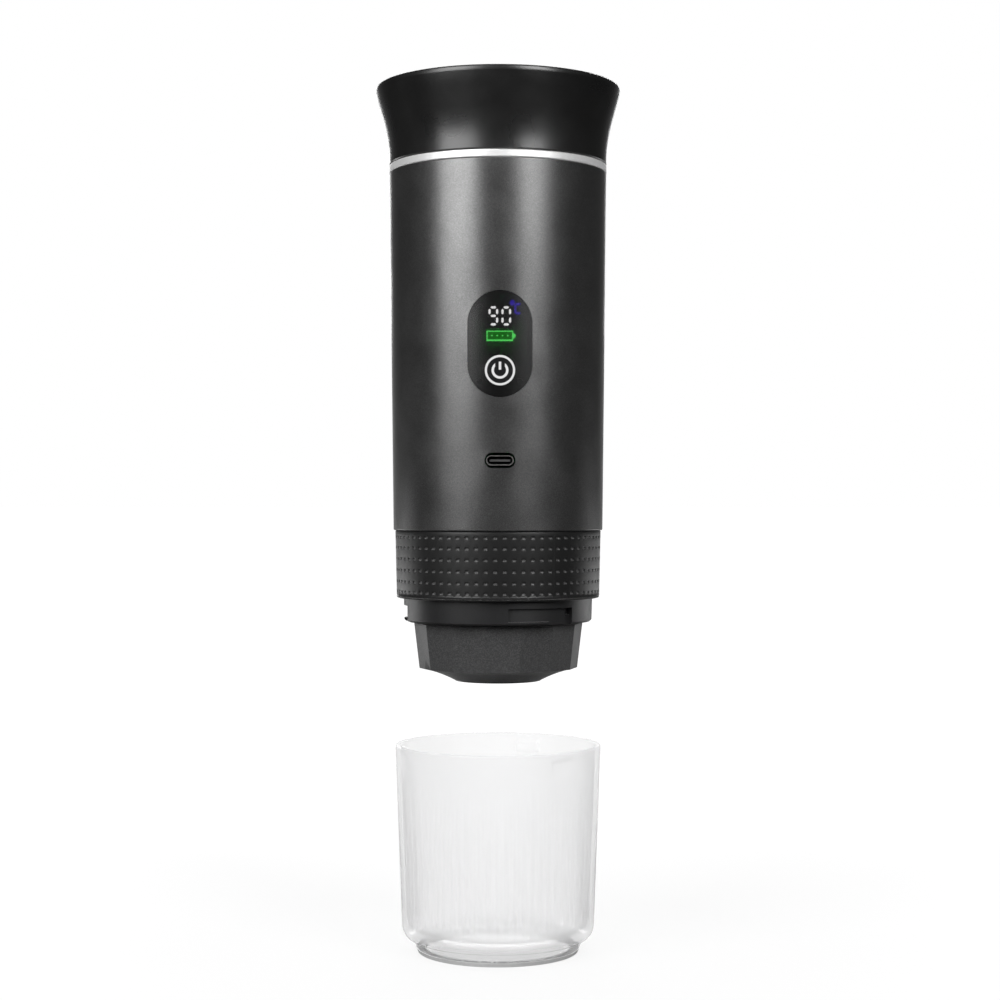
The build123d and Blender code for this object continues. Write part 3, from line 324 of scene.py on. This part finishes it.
def mesh_piece(name, points, faces, finish, body, slot, *replaced):
    """A smooth shaded mesh that rides on a body, if one is named, and stands for CAD nodes."""
    mesh = bpy.data.meshes.new(name)
    mesh.from_pydata([tuple(point) for point in points], [], faces)
    mesh.validate()
    mesh.materials.append(finish.material)
    mesh.polygons.foreach_set("use_smooth", [True] * len(mesh.polygons))
    piece = bpy.data.objects.new(name, mesh)
    bpy.context.scene.collection.objects.link(piece)
    if body:
        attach(piece, body)
    if replaced:
        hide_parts(*replaced)
    return piece


def round_points(bearings, radii, heights):
    """Points at bearings in radians from the front."""
    return np.stack([radii * np.sin(bearings), -radii * np.cos(bearings), heights], axis=-1)


def arc(center, radius, start, end, steps):
    """Points (radius, height) on an arc, its angles in degrees from the outward direction."""
    angles = np.radians(np.linspace(start, end, steps))
    return [(center[0] + radius * math.cos(a), center[1] + radius * math.sin(a)) for a in angles]


def ring_faces(rows, columns):
    """Quads between rows of points that each run once round."""
    faces = []
    for row in range(rows - 1):
        low, high = row * columns, (row + 1) * columns
        for column in range(columns):
            right = (column + 1) % columns
            faces.append((low + column, low + right, high + right, high + column))
    return faces


def grip_surface(bearing, height, depth):
    """A point sunk below the rubber band's outside."""
    share = (GRIP_BOX[1].z - height) / (GRIP_BOX[1].z - GRIP_BOX[0].z)
    radius = GRIP_TOP_RADIUS - GRIP_DRAFT * share - depth
    return (radius * math.sin(bearing), -radius * math.cos(bearing), height)


class Shell:
    """Points that are found again by place, and the faces between them."""

    def __init__(self):
        self.points, self.faces, self.known = [], [], {}

    def index(self, bearing, height, depth):
        key = (round(bearing % (2 * math.pi), 6), round(height, 7), round(depth, 7))
        if key not in self.known:
            self.known[key] = len(self.points)
            self.points.append(grip_surface(bearing, height, depth))
        return self.known[key]

    def bridge(self, outer, inner):
        """Quads between two loops of as many points."""
        for k in range(len(outer)):
            right = (k + 1) % len(outer)
            self.faces.append((outer[k], outer[right], inner[right], inner[k]))


def dimple_cell(shell, bearing, bottom, middle, top, pitch):
    """A cell of the band's outside, with a dimple sunk into it."""
    sides = [(-1 + 2 * k / CELL_STEPS, -1.0) for k in range(CELL_STEPS)]
    sides += [(1.0, -1 + 2 * k / CELL_STEPS) for k in range(CELL_STEPS)]
    sides += [(1 - 2 * k / CELL_STEPS, 1.0) for k in range(CELL_STEPS)]
    sides += [(-1.0, 1 - 2 * k / CELL_STEPS) for k in range(CELL_STEPS)]
    outer = [
        shell.index(bearing + u * pitch / 2, (bottom + top) / 2 + v * (top - bottom) / 2, 0.0)
        for u, v in sides
    ]
    for share, sunk in DIMPLE_RINGS:
        loop = []
        for u, v in sides:
            angle = math.atan2(v, u)
            reach = share * max(abs(math.cos(angle)), abs(math.sin(angle))) ** -DIMPLE_SQUARENESS
            across = reach * DIMPLE_WIDTH / 2 * math.cos(angle) / GRIP_TOP_RADIUS
            rise = reach * DIMPLE_HEIGHT / 2 * math.sin(angle)
            loop.append(shell.index(bearing + across, middle + rise, sunk * DIMPLE_DEPTH))
        shell.bridge(outer, loop)
        outer = loop
    shell.faces.append(tuple(outer))


def make_grip(finish):
    """The rubber band: a dimple in each cell of its outside, and rounded edges."""
    low, high = GRIP_BOX
    levels = [low.z + GRIP_EDGE]
    levels += [(a + b) / 2 for a, b in zip(DIMPLE_HEIGHTS, DIMPLE_HEIGHTS[1:])]
    levels += [high.z - GRIP_EDGE]
    pitch = 2 * math.pi / DIMPLE_COLUMNS
    shell = Shell()
    for column in range(DIMPLE_COLUMNS):
        bearing = -math.pi + (column + 0.5) * pitch
        for row, middle in enumerate(DIMPLE_HEIGHTS):
            dimple_cell(shell, bearing, levels[row], middle, levels[row + 1], pitch)
    columns = DIMPLE_COLUMNS * CELL_STEPS
    turn = -math.pi + np.arange(columns) * 2 * math.pi / columns
    for end, level, inward in ((low.z, levels[0], 1.0), (high.z, levels[-1], -1.0)):
        last = [shell.index(t, level, 0.0) for t in turn]
        for angle in np.radians((25.0, 50.0, 75.0, 90.0)):
            sink = GRIP_EDGE * (1 - math.cos(angle))
            loop = [shell.index(t, level - inward * GRIP_EDGE * math.sin(angle), sink) for t in turn]
            shell.bridge(last, loop)
            last = loop
        depth = GRIP_TOP_RADIUS - GRIP_INNER_RADIUS - (GRIP_DRAFT if inward > 0 else 0.0)
        shell.bridge(last, [shell.index(t, end, depth) for t in turn])
    mesh_piece("grip_band", shell.points, shell.faces, finish, "unit", "grip_rubber", "grip_sleeve")


def make_parting_line(finish):
    """The mould's fine parting line on the rubber band."""
    low, high = GRIP_BOX
    points, faces = [], []
    heights = np.linspace(low.z + 2 * GRIP_EDGE, high.z - 2 * GRIP_EDGE, PARTING_STEPS)
    for height in heights:
        for side, sink in PARTING_SECTION:
            bearing = math.radians(PARTING_BEARING) + side / GRIP_TOP_RADIUS
            points.append(grip_surface(bearing, height, sink))
    for row in range(len(heights) - 1):
        for k in range(row * 4, row * 4 + 3):
            faces.append((k, k + 1, k + 5, k + 4))
    mesh_piece("grip_parting", points, faces, finish, "unit", "grip_rubber")


def cup_outside(z):
    """The radius of the cup's outside above its shoulder, before the flutes."""
    slope = (CUP_RIM_RADIUS - CUP_BASE_RADIUS) / (CUP_BOX[1].z - CUP_BASE_HEIGHT)
    return CUP_RIM_RADIUS - slope * (CUP_BOX[1].z - z)


def cup_foot():
    """The foot's outside and the round shoulder above it, as (radius, height)."""
    low = CUP_BOX[0].z
    radius = CUP_FOOT_TOP_RADIUS - CUP_FOOT_SLOPE * (CUP_FOOT_TOP_HEIGHT - low)
    foot = [(radius - CUP_FOOT_EDGE, low), (radius, low + CUP_FOOT_EDGE)]
    foot.append((CUP_FOOT_TOP_RADIUS, CUP_FOOT_TOP_HEIGHT))
    across = CUP_BASE_RADIUS - CUP_FOOT_TOP_RADIUS
    rise = CUP_BASE_HEIGHT - CUP_FOOT_TOP_HEIGHT
    for k in range(1, 9):
        turn = k / 8 * math.pi / 2
        radius = CUP_FOOT_TOP_RADIUS + across * math.sin(turn)
        foot.append((radius, CUP_BASE_HEIGHT - rise * math.cos(turn)))
    return foot


def cup_wall():
    """The wall's outside, the rim, the wall's inside and the floor, as (radius, height)."""
    high = CUP_BOX[1].z
    round_height = high - CUP_RIM_ROUND
    wall = [(cup_outside(z), z) for z in np.linspace(CUP_BASE_HEIGHT, round_height, 60)[1:]]
    wall += arc((CUP_RIM_RADIUS - CUP_RIM_ROUND, round_height), CUP_RIM_ROUND, 0, 90, 5)[1:]
    inner_radius = CUP_RIM_RADIUS - CUP_WALL + CUP_RIM_ROUND
    wall += arc((inner_radius, round_height), CUP_RIM_ROUND, 90, 180, 5)
    heights = [high - 1.5 * MM, LUG_TOP + LUG_EDGE, LUG_TOP, LUG_TOP - LUG_EDGE]
    heights += [LUG_BOTTOM + LUG_EDGE, LUG_BOTTOM, LUG_BOTTOM - LUG_EDGE]
    heights += list(np.linspace(LUG_BOTTOM - 2 * MM, CUP_FLOOR_TOP + CUP_FLOOR_CORNER, 24))
    wall += [(cup_outside(z) - CUP_WALL, z) for z in heights]
    corner_radius = wall[-1][0] - CUP_FLOOR_CORNER
    corner_height = CUP_FLOOR_TOP + CUP_FLOOR_CORNER
    wall += arc((corner_radius, corner_height), CUP_FLOOR_CORNER, 0, -90, 9)[1:]
    return wall + [(corner_radius * share, CUP_FLOOR_TOP) for share in (0.75, 0.5, 0.25)]


def cup_underside():
    """The floor's underside and the inside of the foot, as (radius, height)."""
    low = CUP_BOX[0].z
    under = CUP_FLOOR_TOP - CUP_FLOOR_THICKNESS
    recess = CUP_FOOT_TOP_RADIUS - CUP_FOOT_SLOPE * CUP_FOOT_TOP_HEIGHT - CUP_FOOT_WIDTH
    below = [(recess * share, under) for share in (0.25, 0.5, 0.75)]
    below += [(recess - CUP_RECESS_EDGE, under), (recess, under - CUP_RECESS_EDGE)]
    return below + [(recess, low + CUP_FOOT_EDGE), (recess + CUP_FOOT_EDGE, low)]


def fluted(radii, turn, z):
    """Radii with the flutes cut in; they deepen from their tops and run out above the foot."""
    deepen = min(1.0, max(0.0, (FLUTE_TOP - z) / FLUTE_FADE))
    run_out = min(1.0, max(0.0, (z - CUP_BASE_HEIGHT) / FLUTE_FOOT))
    return radii - FLUTE_DEPTH * deepen * run_out * (0.5 + 0.5 * np.cos(turn * FLUTE_COUNT))


def lugged(radii, turn):
    """Radii drawn in at the lugs, with soft sides."""
    for bearing in LUG_BEARINGS:
        away = np.abs((np.degrees(turn) - bearing + 180) % 360 - 180) - LUG_WIDTH / 2
        share = np.clip(0.5 - away / LUG_BLEND, 0, 1)
        radii = radii + (LUG_RADIUS - radii) * share * share * (3 - 2 * share)
    return radii


def cup_row(turn, radius, z):
    """The points of one row round the cup."""
    radii = np.full(len(turn), radius)
    at_lugs = LUG_BOTTOM - LUG_EDGE / 10 < z < LUG_TOP + LUG_EDGE / 10
    if z > CUP_BASE_HEIGHT and radius > cup_outside(z) - CUP_WALL / 6:
        radii = fluted(radii, turn, z)
    elif at_lugs and radius > LUG_RADIUS:
        radii = lugged(radii, turn)
    return round_points(turn, radii, np.full(len(turn), z))


def make_cup(finish):
    """The clear cup: fine flutes on its outside, three lugs inside its rim, a solid floor."""
    upper, lower = cup_foot() + cup_wall(), cup_underside()
    columns = FLUTE_COUNT * FLUTE_STEPS
    turn = np.arange(columns) * 2 * math.pi / columns
    points = list(np.concatenate([cup_row(turn, radius, z) for radius, z in upper + lower]))
    start = len(upper) * columns
    faces = ring_faces(len(upper), columns)
    faces += [tuple(i + start for i in face) for face in ring_faces(len(lower), columns)]
    floor_middle, under_middle = len(points), len(points) + 1
    last = len(points) - columns
    points += [(0.0, 0.0, upper[-1][1]), (0.0, 0.0, lower[0][1])]
    for k in range(columns):
        right = (k + 1) % columns
        faces.append((start - columns + k, start - columns + right, floor_middle))
        faces.append((start + right, start + k, under_middle))
        faces.append((last + k, last + right, right, k))
    mesh_piece("fluted_cup", points, faces, finish, "cup", "cup_clear", "cup")


def soften_head_edges():
    """Rounds the edges between the head's facets a little, as moulding does."""
    shape = nodes["brew_head"]
    weld = shape.modifiers.new("weld", "WELD")
    weld.merge_threshold = 0.001 * MM
    bevel = shape.modifiers.new("soft_edges", "BEVEL")
    bevel.width = HEAD_EDGE
    bevel.segments = 3
    bevel.limit_method = "ANGLE"
    bevel.angle_limit = math.radians(15.0)


def make_pump_spring(finish):
    """The spring under the pump's plunger."""
    low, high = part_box("pump_spring")
    middle = (low + high) / 2
    radius = (high.x - low.x - SPRING_WIRE) / 2
    rise = high.z - low.z - SPRING_WIRE
    rings = SPRING_TURNS * SPRING_STEPS + 1
    turn = np.linspace(0.0, 2 * math.pi * SPRING_TURNS, rings)
    outward = np.stack([np.cos(turn), np.sin(turn), np.zeros(rings)], axis=-1)
    path = outward * radius + np.array((middle.x, middle.y, low.z + SPRING_WIRE / 2))
    path[:, 2] += np.linspace(0.0, rise, rings)
    slope = rise / (2 * math.pi * SPRING_TURNS * radius)
    along = np.stack([-np.sin(turn), np.cos(turn), np.full(rings, slope)], axis=-1)
    across = np.cross(along / np.linalg.norm(along, axis=1, keepdims=True), outward)
    points = []
    for k in range(rings):
        for angle in np.arange(SPRING_ROUND) * 2 * math.pi / SPRING_ROUND:
            reach = math.cos(angle) * outward[k] + math.sin(angle) * across[k]
            points.append(path[k] + reach * SPRING_WIRE / 2)
    faces = ring_faces(rings, SPRING_ROUND)
    faces.append(tuple(range(SPRING_ROUND - 1, -1, -1)))
    faces.append(tuple(range(len(points) - SPRING_ROUND, len(points))))
    spring = mesh_piece("spring_wire", points, faces, finish, None, "steel", "pump_spring")
    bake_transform(spring)


def prism(outline, front, back):
    """Points and faces of a flat shape, its outline given as (x, z), between two depths."""
    count = len(outline)
    points = [(x, front, z) for x, z in outline] + [(x, back, z) for x, z in outline]
    faces = [tuple(range(count)), tuple(range(2 * count - 1, count - 1, -1))]
    faces += [(k, k + count, (k + 1) % count + count, (k + 1) % count) for k in range(count)]
    return points, faces


def joined(shapes):
    """Several (points, faces) as one."""
    points, faces = [], []
    for more_points, more_faces in shapes:
        faces += [tuple(i + len(points) for i in face) for face in more_faces]
        points += more_points
    return points, faces


def segment(x, z, upright):
    """One bar of a digit, pointed at both ends."""
    half, waist = SEGMENT_LENGTH / 2, SEGMENT_WIDTH / 2
    outline = [(-half, 0), (-half + waist, -waist), (half - waist, -waist)]
    outline += [(half, 0), (half - waist, waist), (-half + waist, waist)]
    return [(x - b, z + a) if upright else (x + a, z + b) for a, b in outline]


def digit(x, middle, lit):
    """The lit bars of a seven-bar digit."""
    left, right = x - SEGMENT_SIDE, x + SEGMENT_SIDE
    above, below = middle + SEGMENT_RISE / 2, middle - SEGMENT_RISE / 2
    places = {
        "a": (x, middle + SEGMENT_RISE, False),
        "b": (right, above, True),
        "c": (right, below, True),
        "d": (x, middle - SEGMENT_RISE, False),
        "e": (left, below, True),
        "f": (left, above, True),
        "g": (x, middle, False),
    }
    return [segment(*places[name]) for name in lit]


def sign(name, outlines, depths, finish, slot, *replaced):
    """Flat lit shapes between two depths."""
    points, faces = joined([prism(shape, *depths) for shape in outlines])
    mesh_piece(name, points, faces, finish, "unit", slot, *replaced)


def disc(x, z, radius, steps=12):
    turn = np.arange(steps) * 2 * math.pi / steps
    return [(x + radius * math.cos(t), z + radius * math.sin(t)) for t in turn]


def rectangle(left, right, bottom, top):
    return [(left, bottom), (right, bottom), (right, top), (left, top)]


def make_digits(finish):
    """The digits 9 and 0, behind the smoked window."""
    low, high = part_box("digit_lights")
    x, z = (low.x + high.x) / 2, (low.z + high.z) / 2 + 0.3 * MM
    bars = digit(x - DIGIT_PITCH / 2, z, "abcdfg") + digit(x + DIGIT_PITCH / 2, z, "abcdef")
    sign("digit_bars", bars, (low.y, high.y), finish, "light_white", "digit_lights")


def make_degree_sign(finish):
    """A degree dot and a C with square corners."""
    low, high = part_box("degree_light")
    left, top, line = low.x + 1.5 * MM, high.z - 1.0 * MM, DEGREE_LINE
    dot = disc(low.x + DEGREE_DOT_RADIUS, high.z - DEGREE_DOT_RADIUS, DEGREE_DOT_RADIUS)
    letter = [
        (high.x - line, top),
        (left + line, top),
        (left, top - line),
        (left, low.z + line),
        (left + line, low.z),
        (high.x - line, low.z),
        (high.x - line, low.z + line),
        (left + line, low.z + line),
        (left + line, top - line),
        (high.x - line, top - line),
    ]
    parts = [letter[:3] + [letter[8], letter[9]], letter[2:4] + [letter[7], letter[8]], letter[3:8]]
    sign("degree_sign", [dot] + parts, (low.y, high.y), finish, "light_blue", "degree_light")


def make_battery_sign(outline_finish, fill_finish):
    """A battery's outline with a pointed end, four dots in it and a dim fill behind them."""
    low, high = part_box("battery_light")
    z, line, end = (low.z + high.z) / 2, BATTERY_LINE, high.x - BATTERY_TIP
    left, bottom, top = low.x, low.z + line / 2, high.z - line / 2
    tip = [(end, z - BATTERY_TIP_HALF), (high.x, z - line)]
    tip += [(high.x, z + line), (end, z + BATTERY_TIP_HALF)]
    bars = [
        rectangle(left, end, bottom, bottom + line),
        rectangle(left, end, top - line, top),
        rectangle(left, left + line, bottom + line, top - line),
        rectangle(end - line, end, bottom + line, top - line),
        tip,
    ]
    pitch = (end - left) / (BATTERY_DOTS + 1)
    dots = [disc(left + pitch * (k + 1), z, DOT_RADIUS, 8) for k in range(BATTERY_DOTS)]
    depths = (low.y, high.y)
    sign("battery_outline", bars + dots, depths, outline_finish, "light_green", "battery_light")
    fill = rectangle(left + line, end - line, bottom + line, top - line)
    sign("battery_fill", [fill], (low.y + DOT_RADIUS, high.y), fill_finish, "light_green")


def racetrack(width, height, middle, steps=8):
    """Points (x, z) round a slot with half-round ends."""
    radius = height / 2
    across = width / 2 - radius
    turn = np.linspace(-math.pi / 2, math.pi / 2, steps)
    right = [(across + radius * math.cos(t), middle + radius * math.sin(t)) for t in turn]
    left = [(-across - radius * math.cos(t), middle - radius * math.sin(t)) for t in turn]
    return right + left


def make_socket_shade_lining(finish):
    """A black lining inside the charging socket's bright shell, closed at the back: painted shade, a
    dark sheet where the inside of the socket lies in shade.
    """
    low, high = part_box("usb_socket")
    middle = (low.z + high.z) / 2
    width, height = high.x - low.x - 2 * SOCKET_WALL, high.z - low.z - 2 * SOCKET_WALL
    outer = racetrack(width, height, middle)
    inner = racetrack(width - 2 * SOCKET_SHADE_LINING, height - 2 * SOCKET_SHADE_LINING, middle)
    mouth, back = low.y + SOCKET_MOUTH, low.y + SOCKET_DEPTH
    points = [(x, mouth, z) for x, z in outer]
    points += [(x, mouth, z) for x, z in inner] + [(x, back, z) for x, z in inner]
    count = len(outer)
    faces = ring_faces(3, count)
    faces.append(tuple(range(2 * count, 3 * count)))
    mesh_piece("socket_shade_lining", points, faces, finish, "unit", "black_plastic")


speckled("casing_paint", grey(0.11), grey(0.19), 0.33, 0.12 * MM, Metallic=0.9).dress("outer_casing")
lid = grained("lid_black", grey(0.004), grey(0.007), 0.3, 2500.0, Specular_IOR_Level=0.8)
lid.dress("lid_shell")
lid_top = grained("lid_top_satin", grey(0.005), grey(0.009), 0.6, 1800.0, Specular_IOR_Level=0.2)
lid_top.dress("lid_top_disc")
trim = drawn_metal("trim_silver", grey(0.92), 0.4, (1.0, 1.0, 8.0))
trim.set({"Metallic": 0.5})
trim.dress("trim_ring")
soft_sheen = {"Sheen_Weight": 0.5, "Sheen_Roughness": 0.25}
rubber = grained("grip_rubber", grey(0.004), grey(0.009), 0.4, 3500.0, **soft_sheen)
rubber.dress("pump_mount")
plastic = grained("black_plastic", (0.006, 0.006, 0.0065), (0.01, 0.01, 0.011), 0.42, 2600.0,
                  Specular_IOR_Level=0.6, **soft_sheen)
plastic.dress("bayonet_ring", "brew_chamber", "digit_module", "inner_frame", "lid_base")
plastic.dress("lower_housing", "push_switch", "spout_disc", "tank_collar")
grained("tongue_plastic", grey(0.045), grey(0.06), 0.4, 2600.0).dress("usb_tongue")
head = speckled("head_black", (0.047, 0.047, 0.0475), (0.078, 0.078, 0.079), 0.4, 0.25 * MM,
                Specular_IOR_Level=0.1, Sheen_Weight=0.4, Sheen_Roughness=0.25)
head.dress("brew_head")
white = grained("white_plastic", (0.75, 0.75, 0.73), (0.82, 0.82, 0.8), 0.45, 2600.0)
white.dress("board_ribbon", "thermal_cutoff")
panel = grained("panel_gloss", (0.004, 0.004, 0.0045), (0.006, 0.006, 0.0065), 0.3, 1200.0, 0.000001)
panel.dress("power_button")
glowing("mark_white", grey(1.0), 0.7).dress("button_marks")
smoked = Finish("smoked_window", (0.02, 0.02, 0.0205), 0.0, Transmission_Weight=1.0, IOR=1.02,
                Coat_Weight=1.0, Coat_Roughness=0.3)
smoked.set({"Base Color": smoked.tint(smoked.noise(60.0), grey(0.017), grey(0.023))})
smoked.dress("display_window")
steel = drawn_metal("steel", (0.62, 0.61, 0.59), 0.3)
steel.dress("basket_screen", "cell_links", "coffee_basket", "frame_screws", "lid_screws", "pump_body")
steel.dress("pump_plunger", "pump_spring", "ring_screws", "shower_plate", "temperature_sensor")
steel.dress("usb_socket", "water_tank")
drawn_metal("aluminium", grey(0.8), 0.4).dress("heater_plate")
drawn_metal("copper", (0.8, 0.36, 0.2), 0.3, (1.0, 1.0, 60.0)).dress("pump_coil")
silicone = grained("silicone", (0.55, 0.54, 0.5), (0.62, 0.61, 0.57), 0.45, 1500.0)
silicone.dress("brew_gasket", "inlet_hose", "lid_seal", "outlet_hose", "tank_gasket")
wrap = grained("cell_wrap", (0.02, 0.12, 0.3), (0.025, 0.14, 0.34), 0.35, 800.0)
wrap.dress("battery_cell_back", "battery_cell_left", "battery_cell_right")
board = grained("board_green", (0.01, 0.09, 0.04), (0.02, 0.13, 0.06), 0.4, 500.0)
board.dress("display_board", "main_board")
# The ring under the cup's foot: its grey tone is partly painted contact shade where the cup meets the
# table
foot = grained("foot_clear", grey(0.74), grey(0.8), 0.4, 900.0)
foot.dress("cup_foot_ring")

# The cup's clear plastic is painted darker in its solid foot: painted shade for how the thick foot
# looks
clear = Finish("cup_clear", (0.84, 0.84, 0.845), 0.3, Transmission_Weight=0.6, IOR=1.14, Alpha=0.32)
cup_height = clear.add("ShaderNodeSeparateXYZ", {0: clear.place}).outputs["Z"]
above_foot = clear.spread(cup_height, 0.0, 1.0, CUP_FOOT_TOP_HEIGHT, CUP_BASE_HEIGHT)
cloudy = clear.tint(clear.noise(120.0), (0.83, 0.83, 0.836), (0.85, 0.85, 0.856))
clear.set({"Base Color": clear.tint(above_foot, (0.46, 0.46, 0.465), cloudy)})

make_digits(glowing("light_white", (1.0, 1.0, 1.0), 38.0))
make_degree_sign(glowing("light_blue", (0.05, 0.0, 1.0), 11.0))
battery_green = glowing("light_green", (0.12, 1.0, 0.16), 30.0)
make_battery_sign(battery_green, glowing("battery_fill", (0.0, 1.0, 0.0), 5.0))
make_socket_shade_lining(plastic)
# grey(0.09) down in the dimples is a painted highlight, not the rubber's own colour
pits = pitted_rubber("grip_pitted_painted_highlight", grey(0.004), grey(0.009), grey(0.09), 0.4, 0.22, **soft_sheen)
make_grip(pits)
make_parting_line(pits)
make_cup(clear)
make_pump_spring(steel)
soften_head_edges()


def soft_box(name, bearing, width, bottom, top, radiance, distance=BOX_DISTANCE):
    """An upright soft box that faces the object and isn't seen itself."""
    height = top - bottom
    data = bpy.data.lights.new(name, "AREA")
    data.shape = "RECTANGLE"
    data.size, data.size_y = width, height
    data.energy = radiance * math.pi * width * height
    lamp = bpy.data.objects.new(name, data)
    bpy.context.scene.collection.objects.link(lamp)
    turn = math.radians(bearing)
    lamp.location = (distance * math.sin(turn), -distance * math.cos(turn), bottom + height / 2)
    lamp.rotation_euler = (math.radians(90.0), 0.0, turn)
    lamp.visible_camera = False


def make_world():
    """White as the camera and glass see it, and behind the object in its gloss; dimmer elsewhere."""
    world = bpy.data.worlds.new("studio")
    bpy.context.scene.world = world
    world.use_nodes = True
    tree = world.node_tree
    ray = tree.nodes.new("ShaderNodeLightPath").outputs
    direction = tree.nodes.new("ShaderNodeTexCoord").outputs["Generated"]
    split = add_node(tree, "ShaderNodeSeparateXYZ", {0: direction})
    ahead = math_node(tree, "MAXIMUM", split.outputs["Y"], 0.0)
    far_side = math_node(tree, "POWER", ahead, FAR_SIDE_FOCUS)
    gloss = math_node(tree, "MULTIPLY", far_side, ray["Is Glossy Ray"])
    direct = math_node(tree, "MAXIMUM", ray["Is Camera Ray"], ray["Is Transmission Ray"])
    seen = math_node(tree, "MAXIMUM", direct, gloss)
    levels = {"Value": ray["Is Glossy Ray"], "To Min": AMBIENT, "To Max": ROOM}
    plain = add_node(tree, "ShaderNodeMapRange", levels).outputs[0]
    levels = {"Value": seen, "To Min": plain, "To Max": 1.0}
    strength = add_node(tree, "ShaderNodeMapRange", levels).outputs[0]
    white = (1.0, 1.0, 1.0, 1.0)
    set_sockets(tree, tree.nodes["Background"], {"Color": white, "Strength": strength})


def make_table():
    """A pale table that keeps the object's shadow and fades into the background."""
    corners = [(-1, -1), (1, -1), (1, 1), (-1, 1)]
    mesh = bpy.data.meshes.new("table")
    mesh.from_pydata([(x * TABLE_SIDE, y * TABLE_SIDE, 0) for x, y in corners], [], [(0, 1, 2, 3)])
    table = bpy.data.objects.new("table", mesh)
    bpy.context.scene.collection.objects.link(table)
    finish = Finish("table_white", (0.8, 0.8, 0.8), 0.8, Specular_IOR_Level=0.0)
    mesh.materials.append(finish.material)
    tree = finish.tree
    ray = finish.add("ShaderNodeLightPath").outputs
    # Glass passes on a white table only where the ray came straight from the camera
    bounces = math_node(tree, "ADD", ray["Diffuse Depth"], ray["Glossy Depth"])
    straight = math_node(tree, "LESS_THAN", bounces, 0.5)
    through = math_node(tree, "MULTIPLY", ray["Is Transmission Ray"], straight)
    direct = math_node(tree, "MAXIMUM", ray["Is Camera Ray"], through)
    bearing = finish.add("ShaderNodeVectorMath", {0: finish.place}, operation="NORMALIZE")
    split = finish.add("ShaderNodeSeparateXYZ", {0: bearing.outputs["Vector"]})
    ahead = math_node(tree, "MAXIMUM", split.outputs["Y"], 0.0)
    behind = math_node(tree, "POWER", ahead, FAR_SIDE_FOCUS)
    out = finish.add("ShaderNodeVectorMath", {0: finish.place}, operation="LENGTH").outputs["Value"]
    beyond = finish.spread(out, 0.0, 1.0, *TABLE_GLOSS_REACH)
    far = math_node(tree, "MULTIPLY", ray["Is Glossy Ray"], beyond)
    seen = math_node(tree, "MAXIMUM", direct, math_node(tree, "MULTIPLY", far, behind))
    # Painted shade: the table's glow is dimmer close to the object, a soft shade round it
    glow_and_shade = finish.spread(out, *TABLE_GLOW_AND_SHADE, *TABLE_GLOW_REACH)
    finish.set({
        "Base Color": finish.tint(direct, TABLE_LIT, TABLE_SEEN),
        "Emission Color": (1.0, 1.0, 1.0, 1.0),
        "Emission Strength": math_node(tree, "MULTIPLY", seen, glow_and_shade),
    })


def make_studio():
    make_world()
    make_table()
    soft_box("left_box", -43.0, 0.75, 0.3, 1.6, 6.2)
    soft_box("right_box", 35.0, 0.5, 0.4, 1.6, 8.0)
    soft_box("low_left_box", -127.0, 0.4, 0.01, 0.095, 3.4, LOW_BOX_DISTANCE)
    soft_box("low_right_box", 127.0, 0.4, 0.01, 0.095, 2.7, LOW_BOX_DISTANCE)
    soft_box("back_box", 180.0, 0.7, 0.3, 1.4, 4.0)
    data = bpy.data.lights.new("top_box", "AREA")
    data.size = TOP_BOX_SIDE
    data.energy = TOP_BOX_RADIANCE * math.pi * TOP_BOX_SIDE ** 2
    lamp = bpy.data.objects.new("top_box", data)
    bpy.context.scene.collection.objects.link(lamp)
    lamp.location = TOP_BOX_PLACE
    lamp.visible_glossy = False
    lamp.visible_camera = False


make_studio()

camera = bpy.data.objects.new("camera", bpy.data.cameras.new("camera"))
bpy.context.scene.collection.objects.link(camera)
camera.location = CAMERA_PLACE
camera.rotation_euler = (math.radians(90.0), 0.0, CAMERA_TURN)
camera.data.lens = CAMERA_LENS
bpy.context.scene.camera = camera
bpy.context.scene.view_settings.view_transform = "Standard"

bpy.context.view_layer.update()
